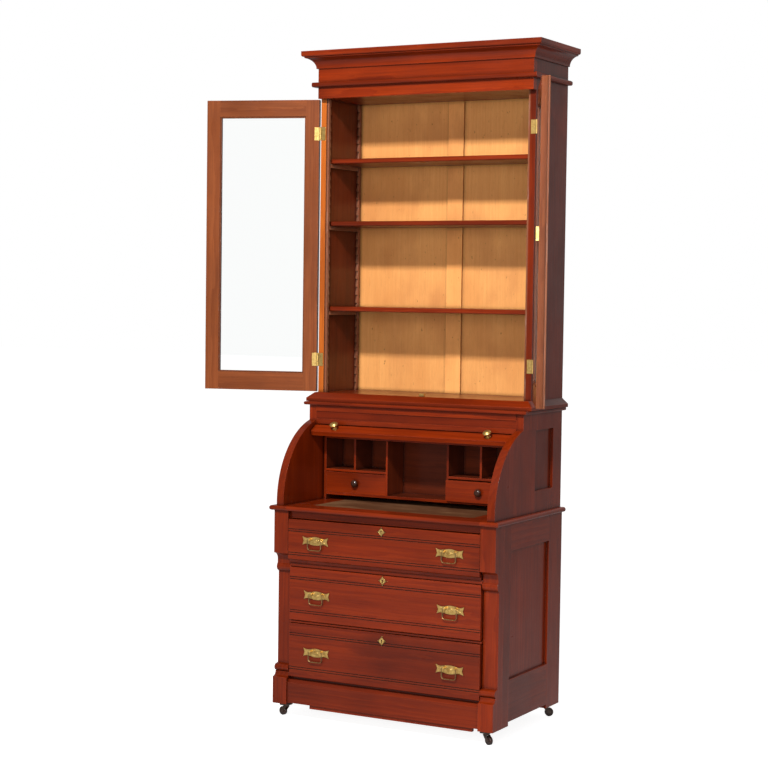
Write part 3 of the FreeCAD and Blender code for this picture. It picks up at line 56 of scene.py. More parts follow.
# %% Place the camera
camera_place = Vector((3.0713, -5.8364, 1.5305))
focal_length = 86.37
heading = math.radians(28.9)
dip = math.radians(2.88)
roll = math.radians(0.78)
forward = Vector((-math.sin(heading) * math.cos(dip),
                  math.cos(heading) * math.cos(dip), -math.sin(dip)))
level = Vector((math.cos(heading), math.sin(heading), 0))
above = level.cross(forward)
right = math.cos(roll) * level + math.sin(roll) * above
up = math.cos(roll) * above - math.sin(roll) * level

lens = bpy.data.cameras.new("studio_camera")
lens.sensor_width = 36
lens.lens = focal_length
camera = bpy.data.objects.new("studio_camera", lens)
turning = Matrix((right, up, -forward)).transposed().to_4x4()
camera.matrix_world = Matrix.Translation(camera_place) @ turning
bpy.context.scene.collection.objects.link(camera)
bpy.context.scene.camera = camera
print("camera looks along", [round(part, 3) for part in forward])

# %% [markdown]
# ## The studio
# Polished wood is a dark mirror, so what stands round it matters as much as the
# lamps.  A pale floor is a sheet of paper that fills the lower fronts with light
# from below and hides where the floor ends and the backdrop begins.

# %% Lay the floor
bpy.ops.mesh.primitive_plane_add(size=60, location=(0, 0, 0))
floor = bpy.context.object
floor.name = "studio_floor"
paper = bpy.data.materials.new("white_paper")
paper.use_nodes = True
paper_tree = paper.node_tree
sheet = paper_tree.nodes["Principled BSDF"]
sheet.inputs["Base Color"].default_value = (0.42, 0.42, 0.42, 1)
sheet.inputs["Roughness"].default_value = 0.9
sheet.inputs["Emission Color"].default_value = (1, 1, 1, 1)
first_look = paper_tree.nodes.new("ShaderNodeLightPath")
# The paper glows white to the eye, and only faintly on the wood above it.
glow = paper_tree.nodes.new("ShaderNodeMapRange")
glow.inputs["To Min"].default_value = 0.12
glow.inputs["To Max"].default_value = 0.90
paper_tree.links.new(first_look.outputs["Is Camera Ray"], glow.inputs["Value"])
paper_tree.links.new(glow.outputs[0], sheet.inputs["Emission Strength"])
floor.data.materials.append(paper)
print("floor laid:", floor.name)

# %% [markdown]
# The lamps are squares, because a broad source gives shadows with soft edges.
# The first one is small and strong and stands in front, high enough for each
# shelf to shade the panel under it.  The second is wide and weak.

# %% Hang the lamps


def lamp(name, azimuth, height, distance, width, power, aim):
    """A square soft lamp; azimuth 0 is straight in front, positive to the right."""
    light = bpy.data.lights.new(name, "AREA")
    light.shape = "SQUARE"
    light.size = width
    light.energy = power
    holder = bpy.data.objects.new(name, light)
    turn = math.radians(azimuth)
    spot = Vector((math.sin(turn) * distance, -math.cos(turn) * distance, height))
    way = Vector(aim) - spot
    holder.matrix_world = (Matrix.Translation(spot)
                           @ way.to_track_quat("-Z", "Y").to_matrix().to_4x4())
    bpy.context.scene.collection.objects.link(holder)


lamp("high_lamp", azimuth=12, height=4.35, distance=4.0, width=0.35, power=305,
     aim=(0, 0, 1.3))
lamp("fill_lamp", azimuth=20, height=1.9, distance=6.0, width=2.0, power=130,
     aim=(0, 0, 1.4))
print("lamps hung:", len(bpy.data.lights))

# %% [markdown]
# What the polish mirrors is the air of the room.  We give it two faces: plain
# white where the camera looks straight at it, and a soft grey with a brighter
# backdrop for everything that it lights.

# %% Fill the room with air
world = bpy.context.scene.world or bpy.data.worlds.new("studio_air")
bpy.context.scene.world = world
world.use_nodes = True
air = world.node_tree
air.nodes.clear()
seen = air.nodes.new("ShaderNodeBackground")
seen.inputs["Color"].default_value = (1, 1, 1, 1)
felt = air.nodes.new("ShaderNodeBackground")
felt.inputs["Color"].default_value = (1, 0.985, 0.97, 1)
# The white backdrop behind the desk is brighter than the open room in front.
way = air.nodes.new("ShaderNodeTexCoord")
parts = air.nodes.new("ShaderNodeSeparateXYZ")
backdrop = air.nodes.new("ShaderNodeMapRange")
for key, number in (("From Min", -0.2), ("From Max", 0.7), ("To Min", 0.27),
                    ("To Max", 0.46)):
    backdrop.inputs[key].default_value = number
air.links.new(way.outputs["Generated"], parts.inputs[0])
air.links.new(parts.outputs["Y"], backdrop.inputs["Value"])
air.links.new(backdrop.outputs[0], felt.inputs["Strength"])
path = air.nodes.new("ShaderNodeLightPath")
either = air.nodes.new("ShaderNodeMixShader")
out = air.nodes.new("ShaderNodeOutputWorld")
air.links.new(path.outputs["Is Camera Ray"], either.inputs["Fac"])
air.links.new(felt.outputs[0], either.inputs[1])
air.links.new(seen.outputs[0], either.inputs[2])
air.links.new(either.outputs[0], out.inputs["Surface"])
bpy.context.scene.view_settings.view_transform = "Standard"
print("air:", len(air.nodes), "nodes")

# %% [markdown]
# ## Knowing where each board lies
# Grain runs the long way of a board, and no two boards have the same figure.
# A node may hold several boards as loose triangles, one closed board after
# another, so a board ends where every edge met so far has found its partner.
# Each board then gets its own measure, `board_point`: metres along the grain,
# across the face and through the thickness, from a place in the log of its own.

# %% Find the boards of a node and lay the grain along them


def split_boards(mesh):
    """Lists of polygon numbers, one list for each closed board."""
    spots = [tuple(round(part, 5) for part in vertex.co) for vertex in mesh.vertices]
    boards, current, waiting = [], [], set()
    for face in mesh.polygons:
        current.append(face.index)
        corners = [spots[number] for number in face.vertices]
        for start, end in zip(corners, corners[1:] + corners[:1]):
            waiting ^= {(min(start, end), max(start, end))}
        if not waiting:
            boards.append(current)
            current = []
    if current:
        boards.append(current)
    return boards


def lay_grain(piece, turned=0.0, along=None, shades=None):
    """Measure every board of a piece.  turned is the degrees by which the piece
    stands turned about Z; along may name the grain's axis, 0, 1 or 2; shades
    may say how pale each board is, from 0 to 1."""
    mesh = piece.data
    chance = random.Random(piece.name)
    straighten = Matrix.Rotation(math.radians(-turned), 3, "Z")
    spots = np.array([straighten @ vertex.co for vertex in mesh.vertices])
    measured = np.zeros((len(mesh.loops), 3), np.float32)
    tones = np.zeros(len(mesh.loops), np.float32)
    owners = np.array([loop.vertex_index for loop in mesh.loops])
    boards = split_boards(mesh)
    for index, board in enumerate(boards):
        loops = np.concatenate([np.array(mesh.polygons[number].loop_indices)
                                for number in board])
        place = spots[owners[loops]]
        low, high = place.min(0), place.max(0)
        order = list(np.argsort(low - high))
        if along is not None:
            order.remove(along)
            order.insert(0, along)
        log_place = np.array([chance.uniform(-5, 5), chance.uniform(-0.10, 0.10),
                              chance.uniform(0.04, 0.16)])
        measured[loops] = (place - (low + high) / 2)[:, order] + log_place
        tones[loops] = shades[index] if shades else chance.random()
    point = mesh.attributes.new("board_point", "FLOAT_VECTOR", "CORNER")
    point.data.foreach_set("vector", measured.ravel())
    tone = mesh.attributes.new("board_tone", "FLOAT", "CORNER")
    tone.data.foreach_set("value", tones)
    return len(boards)


# %% [markdown]
# ## The polished wood
# Old mahogany has three things laid over each other: wide rings of the log, cut
# through by the board; a ribbon that shimmers across the grain; and thousands
# of short dark pores.  Over them lies a clear polish that has yellowed, rubs
# away on the corners, where a painted highlight also pales the edges, and
# gathers dirt in the hollows, where painted shade also darkens the colour.  We
# build one finish that takes its colours as arguments, so every wood on the
# desk is kin.  First come the helpers that save us from wiring each node by
# hand.

# %% A small bench of helpers for finishes


class Finish:
    """One material and the nodes that are wired up for it."""

    def __init__(self, name):
        self.material = bpy.data.materials.new(name)
        self.material.use_nodes = True
        self.tree = self.material.node_tree
        self.shader = self.tree.nodes["Principled BSDF"]

    def node(self, kind, **settings):
        made = self.tree.nodes.new("ShaderNode" + kind)
        for key, value in settings.items():
            setattr(made, key, value)
        return made

    def join(self, source, target):
        self.tree.links.new(source, target)

    def maths(self, operation, first, second):
        """One sum; each of its two parts may be a socket or a number."""
        made = self.node("Math", operation=operation)
        for socket, value in zip(made.inputs, (first, second)):
            if isinstance(value, (int, float)):
                socket.default_value = value
            else:
                self.join(value, socket)
        return made.outputs[0]

    def blend(self, amount, first, second):
        """Mix two colours; each may be a socket or a plain colour."""
        made = self.node("Mix", data_type="RGBA")
        for socket, value in ((made.inputs[0], amount), (made.inputs[6], first),
                              (made.inputs[7], second)):
            if isinstance(value, (int, float)):
                socket.default_value = value
            elif isinstance(value, tuple):
                socket.default_value = (*value, 1)
            else:
                self.join(value, socket)
        return made.outputs[2]

    def stretch(self, vector, scale):
        """Measure a pattern's room again, each way by its own scale."""
        made = self.node("Mapping")
        made.inputs["Scale"].default_value = scale
        self.join(vector, made.inputs["Vector"])
        return made.outputs[0]

    def noise(self, vector, scale, detail=3.0, rough=0.5):
        made = self.node("TexNoise")
        made.inputs["Scale"].default_value = scale
        made.inputs["Detail"].default_value = detail
        made.inputs["Roughness"].default_value = rough
        self.join(vector, made.inputs["Vector"])
        return made.outputs["Fac"]

    def spread(self, value, low, high, floor_at=0.0, top_at=1.0):
        """Stretch a range of a value to floor_at ... top_at, held at both ends."""
        made = self.node("MapRange", clamp=True)
        self.join(value, made.inputs["Value"])
        for key, number in (("From Min", low), ("From Max", high),
                            ("To Min", floor_at), ("To Max", top_at)):
            made.inputs[key].default_value = number
        return made.outputs[0]

    def sharp_edges(self, radius):
        """White where a corner is sharp, and the rounded normal that goes with it.
        The two normals agree on a flat face and part at a corner."""
        soft = self.node("Bevel", samples=4)
        soft.inputs["Radius"].default_value = radius
        plain = self.node("NewGeometry")
        dot = self.node("VectorMath", operation="DOT_PRODUCT")
        self.join(soft.outputs[0], dot.inputs[0])
        self.join(plain.outputs["Normal"], dot.inputs[1])
        flat, sharp = 0.995, 0.80
        return self.spread(dot.outputs["Value"], flat, sharp), soft.outputs[0]

    def hollows(self, distance):
        """White where the surface is hemmed in."""
        shade = self.node("AmbientOcclusion", samples=4)
        shade.inputs["Distance"].default_value = distance
        hemmed_in, in_the_open = 0.35, 0.95
        return self.spread(shade.outputs["AO"], hemmed_in, in_the_open, 1.0, 0.0)

    def bump(self, height, depth, normal=None):
        made = self.node("Bump")
        made.inputs["Strength"].default_value = 1.0
        made.inputs["Distance"].default_value = depth
        self.join(height, made.inputs["Height"])
        if normal is not None:
            self.join(normal, made.inputs["Normal"])
        return made.outputs[0]


print("a finish can:", [name for name in vars(Finish) if not name.startswith("_")])

# %% [markdown]
# The figure of a wood is drawn from slow patterns to fast ones: rings, clouds
# and ribbons a hand wide, streaks a few millimetres wide, and pores finer than
# a hair.  Every pattern is stretched along the grain, by reading it more slowly
# in the first direction than in the other two.

# %% Draw the figure


def draw_figure(f, where, light, middle, dark, figure):
    """The colour of a new board, and how strong its streaks and its pores are."""
    long_way = f.stretch(where, (0.16, 1.0, 1.0))
    # Rings of the log, waved by a slow noise.
    sway = f.noise(long_way, 5.0, 2.0)
    rings = f.node("TexWave", wave_type="RINGS", rings_direction="X",
                   wave_profile="SAW")
    for key, number in (("Scale", 19.0), ("Distortion", 5.5), ("Detail", 3.0),
                        ("Detail Scale", 1.6)):
        rings.inputs[key].default_value = number
    f.join(long_way, rings.inputs["Vector"])
    streaks = f.noise(f.stretch(where, (0.9, 42.0, 42.0)), 4.0, 4.0, 0.6)
    ribbon = f.noise(f.stretch(where, (1.4, 7.0, 7.0)), 2.2, 2.0)
    fine_pores = f.noise(f.stretch(where, (30.0, 1100.0, 1100.0)), 1.0, 2.0, 0.6)
    pores = f.spread(fine_pores, 0.60, 0.74)

    calm = 0.5 - 0.5 * min(1.0, figure)
    base = f.blend(f.spread(rings.outputs["Fac"], 0.1, 0.95, calm, 1.0 - calm),
                   middle, light)
    base = f.blend(f.maths("MULTIPLY", f.spread(streaks, 0.35, 0.75), 0.75 * figure),
                   base, dark)
    base = f.blend(f.maths("MULTIPLY", f.spread(ribbon, 0.42, 0.66), 0.35 * figure),
                   base, light)
    base = f.blend(f.spread(sway, 0.35, 0.7, 0.0, 0.30), base, dark)
    # Old polish has gone dark in wide clouds.
    clouds = f.noise(f.stretch(where, (0.55, 1.0, 1.0)), 4.2, 3.0, 0.5)
    base = f.blend(f.spread(clouds, 0.46, 0.70, 0.0, 0.55), base, dark)
    base = f.blend(f.maths("MULTIPLY", pores, 0.45), base,
                   tuple(0.35 * part for part in dark))
    return base, streaks, pores


# %% [markdown]
# A century leaves its marks on top of the figure.  Three of them are patches:
# stains that have soaked in, specks of fly dirt and filler, and scuffs where
# rubbing has gone through the colour.  Each finish says how much it has of each.

# %% Add the marks of age


def add_marks(f, where, base, dark, stain, stain_color, specks, scuffs):
    """Lay stains, specks and scuffs over a colour, each by its own strength."""
    if stain:
        cloud = f.noise(f.stretch(where, (1.0, 1.6, 1.6)), 3.3, 4.0, 0.55)
        base = f.blend(f.spread(cloud, 0.50, 0.74, 0.0, stain), base, stain_color)
    if specks:
        spots = f.noise(f.stretch(where, (60.0, 95.0, 95.0)), 1.0, 2.0, 0.5)
        base = f.blend(f.spread(spots, 0.70, 0.80, 0.0, specks), base,
                       tuple(0.25 * part for part in dark))
    if scuffs:
        bare_wood = (0.46, 0.34, 0.27)
        rubs = f.noise(f.stretch(where, (12.0, 110.0, 110.0)), 1.0, 4.0, 0.7)
        base = f.blend(f.spread(rubs, 0.56, 0.66, 0.0, scuffs), base, bare_wood)
    return base


# %% [markdown]
# Last comes the polish: a clear coat over a duller skin.  It is thin on the
# corners, where the wood shows paler, from wear and from a painted highlight
# along the edges, and it has drawn down into the pores, so the coat has gentle
# waves of its own and the wood beneath it a finer relief.

# %% Polish the wood


def wood(name, light, middle, dark, polish=0.6, dull=0.34, figure=1.0, wear_and_glint=0.5,
         stain=0.0, stain_color=(0.1, 0.04, 0.02), specks=0.0, scuffs=0.0):
    """Wood under polish.  light, middle and dark are the colours of the grain,
    polish is how much clear coat is left, dull is how rough the surface is;
    figure, wear_and_glint, stain, specks and scuffs are strengths from 0 to 1;
    wear_and_glint pales the sharp edges, for wear and as a painted highlight."""
    f = Finish(name)
    where = f.node("Attribute", attribute_name="board_point").outputs["Vector"]
    tone = f.node("Attribute", attribute_name="board_tone").outputs["Fac"]
    base, streaks, pores = draw_figure(f, where, light, middle, dark, figure)
    # One board is a little paler than the next.
    value = f.node("HueSaturation")
    f.join(f.spread(tone, 0.0, 1.0, 0.88, 1.12), value.inputs["Value"])
    f.join(base, value.inputs["Color"])
    base = add_marks(f, where, value.outputs[0], dark, stain, stain_color, specks,
                     scuffs)

    edge, soft_normal = f.sharp_edges(1.6 * mm)
    # Sharp edges go paler: partly wear through the polish, partly a painted highlight.
    rubbed_and_glinting = f.maths("MULTIPLY", edge, f.spread(streaks, 0.35, 0.62, 0.15, 1.0))
    base = f.blend(f.maths("MULTIPLY", rubbed_and_glinting, wear_and_glint), base,
                   tuple(min(1.0, 2.0 * part + 0.02) for part in light))
    # Painted shade, and some dirt, darken the colour where the surface is hemmed in.
    shade_and_dirt = f.hollows(14 * mm)
    base = f.blend(f.maths("MULTIPLY", shade_and_dirt, 0.80), base,
                   tuple(0.16 * part for part in dark))
    f.join(base, f.shader.inputs["Base Color"])

    smears = f.noise(f.node("TexCoord").outputs["Object"], 6.0, 4.0, 0.6)
    gloss = f.maths("ADD", f.spread(smears, 0.3, 0.75, dull - 0.07, dull + 0.12),
                    f.maths("MULTIPLY", pores, 0.12))
    gloss = f.maths("ADD", gloss, f.maths("MULTIPLY", rubbed_and_glinting, 0.18))
    f.join(gloss, f.shader.inputs["Roughness"])
    f.shader.inputs["Specular IOR Level"].default_value = 0.10
    f.shader.inputs["Coat Weight"].default_value = polish
    f.shader.inputs["Coat Roughness"].default_value = 0.11
    f.shader.inputs["Coat IOR"].default_value = 1.45
    relief = f.maths("ADD", f.maths("MULTIPLY", pores, -0.6),
                     f.maths("MULTIPLY", streaks, 0.5))
    normal = f.bump(relief, 0.10 * mm, soft_normal)
    f.join(normal, f.shader.inputs["Normal"])
    waves = f.noise(f.stretch(where, (6.0, 26.0, 26.0)), 1.0, 2.0)
    f.join(f.bump(waves, 0.12 * mm, soft_normal), f.shader.inputs["Coat Normal"])
    return f.material


# %% [markdown]
# Nine woods come out of the one recipe.  The outside of the desk is red; the
# inside is darker with painted shade, and browner and duller; light has bleached
# some faces, and the knobs and castor wheels are nearly black.  The back is pine
# gone yellow with age.

# %% Mix the woods
mahogany = wood("polished_mahogany", (0.262, 0.026, 0.0018),
                (0.176, 0.014, 0.0010), (0.050, 0.0045, 0.0006), polish=0.34,
                figure=0.65, wear_and_glint=0.8)
# A darker copy of the mahogany paints the shade inside the case.
shaded_mahogany = wood("inside_mahogany", (0.150, 0.022, 0.005),
                       (0.095, 0.013, 0.003), (0.032, 0.005, 0.002), polish=0.2,
                       dull=0.42, figure=0.6)
scuffed_mahogany = wood("scuffed_mahogany", (0.215, 0.050, 0.018),
                        (0.150, 0.032, 0.010), (0.070, 0.014, 0.005), polish=0.2,
                        figure=0.6, wear_and_glint=0.9, scuffs=0.45)
faded_mahogany = wood("faded_mahogany", (0.270, 0.072, 0.020),
                      (0.190, 0.045, 0.012), (0.080, 0.018, 0.005), polish=0.35,
                      figure=0.7, wear_and_glint=0.7)
sunned_mahogany = wood("sunned_mahogany", (0.52, 0.135, 0.016),
                       (0.40, 0.090, 0.010), (0.20, 0.035, 0.004), polish=0.3,
                       figure=0.6, wear_and_glint=0.7)
rubbed_mahogany = wood("rubbed_mahogany", (0.34, 0.125, 0.062),
                       (0.25, 0.080, 0.038), (0.10, 0.028, 0.012), polish=0.3,
                       figure=0.6, wear_and_glint=0.9, scuffs=0.25)
pine = wood("old_pine", (0.82, 0.40, 0.130), (0.76, 0.345, 0.105),
            (0.60, 0.235, 0.066), polish=0.12, dull=0.5, figure=0.5, wear_and_glint=0.1,
            stain=0.55, stain_color=(0.42, 0.150, 0.050), specks=0.8)
lining = wood("drawer_lining", (0.42, 0.24, 0.12), (0.34, 0.18, 0.085),
              (0.20, 0.09, 0.04), polish=0.0, dull=0.6, figure=0.6, wear_and_glint=0.2,
              stain=0.4, stain_color=(0.16, 0.07, 0.03))
dark_wood = wood("dark_hardwood", (0.060, 0.022, 0.012), (0.036, 0.013, 0.008),
                 (0.012, 0.005, 0.004), polish=0.8, dull=0.25)
print("woods:", [m.name for m in bpy.data.materials if m.name != "white_paper"])

# %% [markdown]
# ## Metals, glass and cloth
# Cast brass left alone for a century is bright only where fingers rub it, and
# iron under varnish goes brown.  Both are one recipe: two colours in patches, a
# brighter one on the corners, dirt in the hollows and fine pits from casting.

# %% Mix the metals


def metal(name, bright, tarnish, metallic, dull, pitting, edge_light):
    """Aged metal: bright on the corners, tarnished in the hollows and patches."""
    f = Finish(name)
    where = f.node("TexCoord").outputs["Object"]
    patches = f.noise(where, 70.0, 5.0, 0.65)
    grains = f.noise(where, 1500.0, 2.0, 0.6)
    edge, soft_normal = f.sharp_edges(0.5 * mm)
    shade_and_dirt = f.hollows(4 * mm)
    base = f.blend(f.spread(patches, 0.38, 0.68), bright, tarnish)
    base = f.blend(f.maths("MULTIPLY", edge, edge_light), base,
                   tuple(min(1.0, 1.25 * part) for part in bright))
    base = f.blend(f.maths("MULTIPLY", shade_and_dirt, 0.8), base,
                   tuple(0.2 * part for part in tarnish))
    f.join(base, f.shader.inputs["Base Color"])
    f.join(f.spread(patches, 0.3, 0.75, dull - 0.08, dull + 0.15),
           f.shader.inputs["Roughness"])
    f.shader.inputs["Metallic"].default_value = metallic
    height = f.maths("ADD", grains, f.maths("MULTIPLY", patches, 1.5))
    f.join(f.bump(height, pitting, soft_normal), f.shader.inputs["Normal"])
    return f.material


brass = metal("aged_brass", (0.86, 0.58, 0.19), (0.45, 0.26, 0.07), 0.92, 0.33,
              0.04 * mm, 0.8)
dark_brass = metal("handled_brass", (0.42, 0.26, 0.10), (0.14, 0.075, 0.03), 0.9,
                   0.32, 0.03 * mm, 0.6)
iron = metal("brown_iron", (0.085, 0.065, 0.055), (0.06, 0.028, 0.016), 0.6, 0.5,
             0.08 * mm, 0.35)
print("metals:", [made.name for made in (brass, dark_brass, iron)])

# %% [markdown]
# The pane is thin old glass.  A pane with no real thickness to bend light is
# best made of two plain shaders, one clear and one glossy, shared out by the
# slant at which it is seen.  The writing cloth is a felted wool, worn flat and
# pale where the arm rests.

# %% Pour the glass and lay the cloth


def pane_glass():
    """Thin clear glass: it reflects at a slant and lets the rest through."""
    f = Finish("old_glass")
    f.tree.nodes.remove(f.shader)
    clear = f.node("BsdfTransparent")
    clear.inputs["Color"].default_value = (0.992, 0.998, 0.995, 1)
    gloss = f.node("BsdfGlossy")
    gloss.inputs["Roughness"].default_value = 0.03
    where = f.node("TexCoord").outputs["Object"]
    ripple = f.bump(f.noise(where, 9.0, 1.0), 0.6 * mm)
    f.join(ripple, gloss.inputs["Normal"])
    slant = f.node("Fresnel")
    slant.inputs["IOR"].default_value = 1.45
    # Light that leaves the pane through its far face isn't turned back, or a
    # pane seen at a slant would go dark.
    leaving = f.node("NewGeometry").outputs["Backfacing"]
    shine = f.maths("MULTIPLY", slant.outputs[0],
                    f.maths("SUBTRACT", 1.0, leaving))
    both = f.node("MixShader")
    f.join(shine, both.inputs["Fac"])
    f.join(clear.outputs[0], both.inputs[1])
    f.join(gloss.outputs[0], both.inputs[2])
    f.join(both.outputs[0], f.tree.nodes["Material Output"].inputs["Surface"])
    return f.material


def writing_cloth():
    """Felted wool: a faint weave under the nap, rubbed bare in patches."""
    f = Finish("writing_cloth")
    where = f.node("TexCoord").outputs["Object"]
    nap = f.noise(where, 900.0, 3.0, 0.7)
    rub = f.noise(f.stretch(where, (1.0, 2.2, 1.0)), 5.0, 4.0, 0.6)
    weave = f.node("TexWave", bands_direction="X")
    weave.inputs["Scale"].default_value = 260.0
    weave.inputs["Distortion"].default_value = 1.0
    f.join(where, weave.inputs["Vector"])
    base = f.blend(f.spread(nap, 0.3, 0.7), (0.072, 0.025, 0.010),
                   (0.118, 0.046, 0.020))
    base = f.blend(f.spread(rub, 0.45, 0.66, 0.0, 0.85), base, (0.185, 0.090, 0.042))
    f.join(base, f.shader.inputs["Base Color"])
    f.shader.inputs["Roughness"].default_value = 0.92
    f.shader.inputs["Specular IOR Level"].default_value = 0.04
    height = f.maths("ADD", nap, f.maths("MULTIPLY", weave.outputs["Fac"], 0.5))
    f.join(f.bump(height, 0.25 * mm), f.shader.inputs["Normal"])
    return f.material


glass = pane_glass()
cloth = writing_cloth()
print("finishes:", len(bpy.data.materials) - 1, "and the paper")

# %% [markdown]
# ## Dressing the drawn pieces
# Every node gets its finish here.  Grain mostly runs the long way of a board, so
# its axis, 0 for X or 2 for Z, is named only where that isn't left to chance.

# %% Dress the case, the cover and the drawers


def dress(node, finish):
    """Take off whatever a node wears and give it one finish."""
    piece = nodes[node]
    piece.data.materials.clear()
    piece.data.materials.append(finish)
    return piece


long_drawers = ("top", "middle", "bottom")
small_work = ("pigeonhole_case", "small_drawer_left", "small_drawer_right")
plain_wood = {
    "base_posts": None, "base_rails": None, "desk_top": None, "upper_frieze": None,
    "deck": None, "bookcase_sides": None, "bookcase_base": None, "cornice": None,
    "shelves": None, "roll_shell": None, "roll_bar": None, "slide_board": None,
    "drawer_top_front": 0, "drawer_middle_front": 0, "drawer_bottom_front": 0,
    "base_side_left": None, "base_side_right": None,
    "upper_side_left": 2, "upper_side_right": 2,
}
boards = 0
for node, along in plain_wood.items():
    boards += lay_grain(dress(node, mahogany), along=along)
# The pigeonholes and small drawers take the painted shade of the inside.
for node in small_work:
    boards += lay_grain(dress(node, shaded_mahogany))
boards += lay_grain(dress("shelf_supports", rubbed_mahogany))
for node in ("base_back", "upper_back"):
    boards += lay_grain(dress(node, pine))
# The two wide panels, then the thicker strip between them, which is paler.
panel_shades = (0.42, 0.30, 0.95)
boards += lay_grain(dress("bookcase_back", pine), shades=panel_shades)
for drawer in long_drawers:
    boards += lay_grain(dress(f"drawer_{drawer}_box", lining))
for node in nodes:
    if node.startswith("castor_wheel") or node.startswith("small_knob"):
        boards += lay_grain(dress(node, dark_wood))
print(boards, "boards measured")

# %% [markdown]
# The doors stand open, so their boards are measured after turning them back.
# Their inner faces and free edges have had another life than their outer ones,
# and a face is told from the others by the way it looks.

# %% Dress the doors
door_turn = {"left": -163.0, "right": 116.0}
for side, angle in door_turn.items():
    piece = dress(f"door_{side}_frame", mahogany)
    piece.data.materials.append(faded_mahogany)
    boards += lay_grain(piece, turned=angle)
    piece.data.materials.append(scuffed_mahogany)
    swung = Matrix.Rotation(math.radians(angle), 3, "Z")
    inward = swung @ Vector((0, 1, 0))
    freeward = swung @ Vector((1 if side == "left" else -1, 0, 0))
    inside_finish = 1 if side == "left" else 2
    for face in piece.data.polygons:
        if face.normal.dot(inward) > 0.5:
            face.material_index = inside_finish
        elif face.normal.dot(freeward) > 0.9:
            face.material_index = 1
    dress(f"door_{side}_glass", glass)
boards += lay_grain(dress("door_right_strip", rubbed_mahogany),
                    turned=door_turn["right"])
print(boards, "boards measured with the doors")

# %% [markdown]
# Some faces of a piece look different from the rest.  The pigeonholes and small
# drawers wear the painted shade of the inside, and only their front edges take
# the polished finish of the outside; the sun has turned the left front edge of
# the bookcase amber, and the inner faces of the bookcase's sides take the painted
# shade as well; the lines that are cut along the drawer fronts are painted nearly
# black, for the shade in them and for old polish gone dark there.  Each such face
# takes another finish.

# %% Dress the faces that differ
for node in small_work:
    piece = nodes[node]
    piece.data.materials.append(mahogany)
    # Faces behind the front edges keep the painted shade of the inside.
    unshaded_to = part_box(node)[0].y + 1 * mm
    for face in piece.data.polygons:
        face.material_index = 1 if face.center.y < unshaded_to else 0
# The left front edge of the bookcase's sides is sunned; their inner faces take the
# painted shade of the inside.
piece = nodes["bookcase_sides"]
piece.data.materials.append(sunned_mahogany)
piece.data.materials.append(shaded_mahogany)
for face in piece.data.polygons:
    if face.normal.y < -0.9 and face.center.x < 0:
        face.material_index = 1
    elif face.normal.x * face.center.x < -0.1:
        face.material_index = 2
# The lines lie inside the moulded edges of a front, and their walls slope.
edge_below, edge_above = 20 * mm, 10 * mm
# The sloping walls of the lines are painted nearly black: painted shade in the grooves,
# and old polish gone dark there.
for name in long_drawers:
    piece = nodes[f"drawer_{name}_front"]
    piece.data.materials.append(dark_wood)
    low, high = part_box(f"drawer_{name}_front")
    for face in piece.data.polygons:
        in_line = low.z + edge_below < face.center.z < high.z - edge_above
        if in_line and 0.3 < -face.normal.y < 0.9:
            face.material_index = 1
print("faces that differ:", sum(1 for piece in nodes.values()
                                for face in piece.data.polygons
                                if face.material_index))

# %% [markdown]
# What isn't wood is told by its name.  The castors and the arms of the cover are
# iron.  The hinges, knobs and plates are brass, and the bails that hang on the
# plates are of the same brass gone darker.

# %% Dress the cloth and the metals
dress("slide_baize", cloth)
for node in nodes:
    if node.startswith("castor_fork") or node in ("castor_plates", "roll_arms"):
        dress(node, iron)
    elif node.startswith("bail_"):
        dress(node, dark_brass)
    elif node.endswith("_brass") or node in ("case_hardware", "roll_knobs"):
        dress(node, brass)
bare = [name for name, piece in nodes.items() if not piece.data.materials]
print("undressed nodes:", bare)

# %% [markdown]
# ## Small fittings
# Four kinds of thing are too small for the joiner's drawings: the screws that
# hold the hinges, the border and ornament of the cast plates, the nails that fix
# the bookcase's back, and the pins of the drawers' dovetails.  What repeats is
# modelled once and then copied, every copy with its own mesh, so that it can be
# finished and moved with the piece that it belongs to.

# %% Set up the bench


def clear_bench():
    """Leave edit mode and select nothing, so that a tool acts on one piece only."""
    if bpy.context.object and bpy.context.object.mode != "OBJECT":
        bpy.ops.object.mode_set(mode="OBJECT")
    bpy.ops.object.select_all(action="DESELECT")


def begin_edit(piece):
    """Take one piece into edit mode, to work on its faces."""
    bpy.context.view_layer.objects.active = piece
    piece.select_set(True)
    bpy.ops.object.mode_set(mode="EDIT")
    bpy.ops.mesh.select_mode(type="FACE")


def pick_faces(piece, wanted):
    """Select the faces for which wanted(face) is true."""
    bpy.ops.mesh.select_all(action="DESELECT")
    bpy.ops.object.mode_set(mode="OBJECT")
    for face in piece.data.polygons:
        face.select = bool(wanted(face))
    bpy.ops.object.mode_set(mode="EDIT")


def end_edit(smooth=40):
    """Turn every face outward, leave edit mode and soften the shallow edges."""
    bpy.ops.mesh.select_all(action="SELECT")
    bpy.ops.mesh.remove_doubles(threshold=0.000001)
    bpy.ops.mesh.normals_make_consistent(inside=False)
    bpy.ops.object.mode_set(mode="OBJECT")
    bpy.ops.object.shade_smooth_by_angle(angle=math.radians(smooth))


def set_out(name, pattern, places, finish, body):
    """Copy a pattern to many places and join the copies as one piece.
    A place is a matrix that carries the pattern from the origin."""
    copies = []
    for index, place in enumerate(places):
        copy = bpy.data.objects.new(f"{name}_{index + 1}", pattern.data.copy())
        copy.data.transform(place)
        bpy.context.scene.collection.objects.link(copy)
        copies.append(copy)
    clear_bench()
    for copy in copies:
        copy.select_set(True)
    bpy.context.view_layer.objects.active = copies[0]
    bpy.ops.object.join()
    piece = bpy.context.object
    piece.name = name
    piece.data.name = name
    piece.data.materials.clear()
    piece.data.materials.append(finish)
    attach(piece, body)
    clear_bench()
    return piece


def put_away(pattern):
    """A pattern isn't part of the desk, so it goes once its copies are made."""
    bpy.data.objects.remove(pattern)


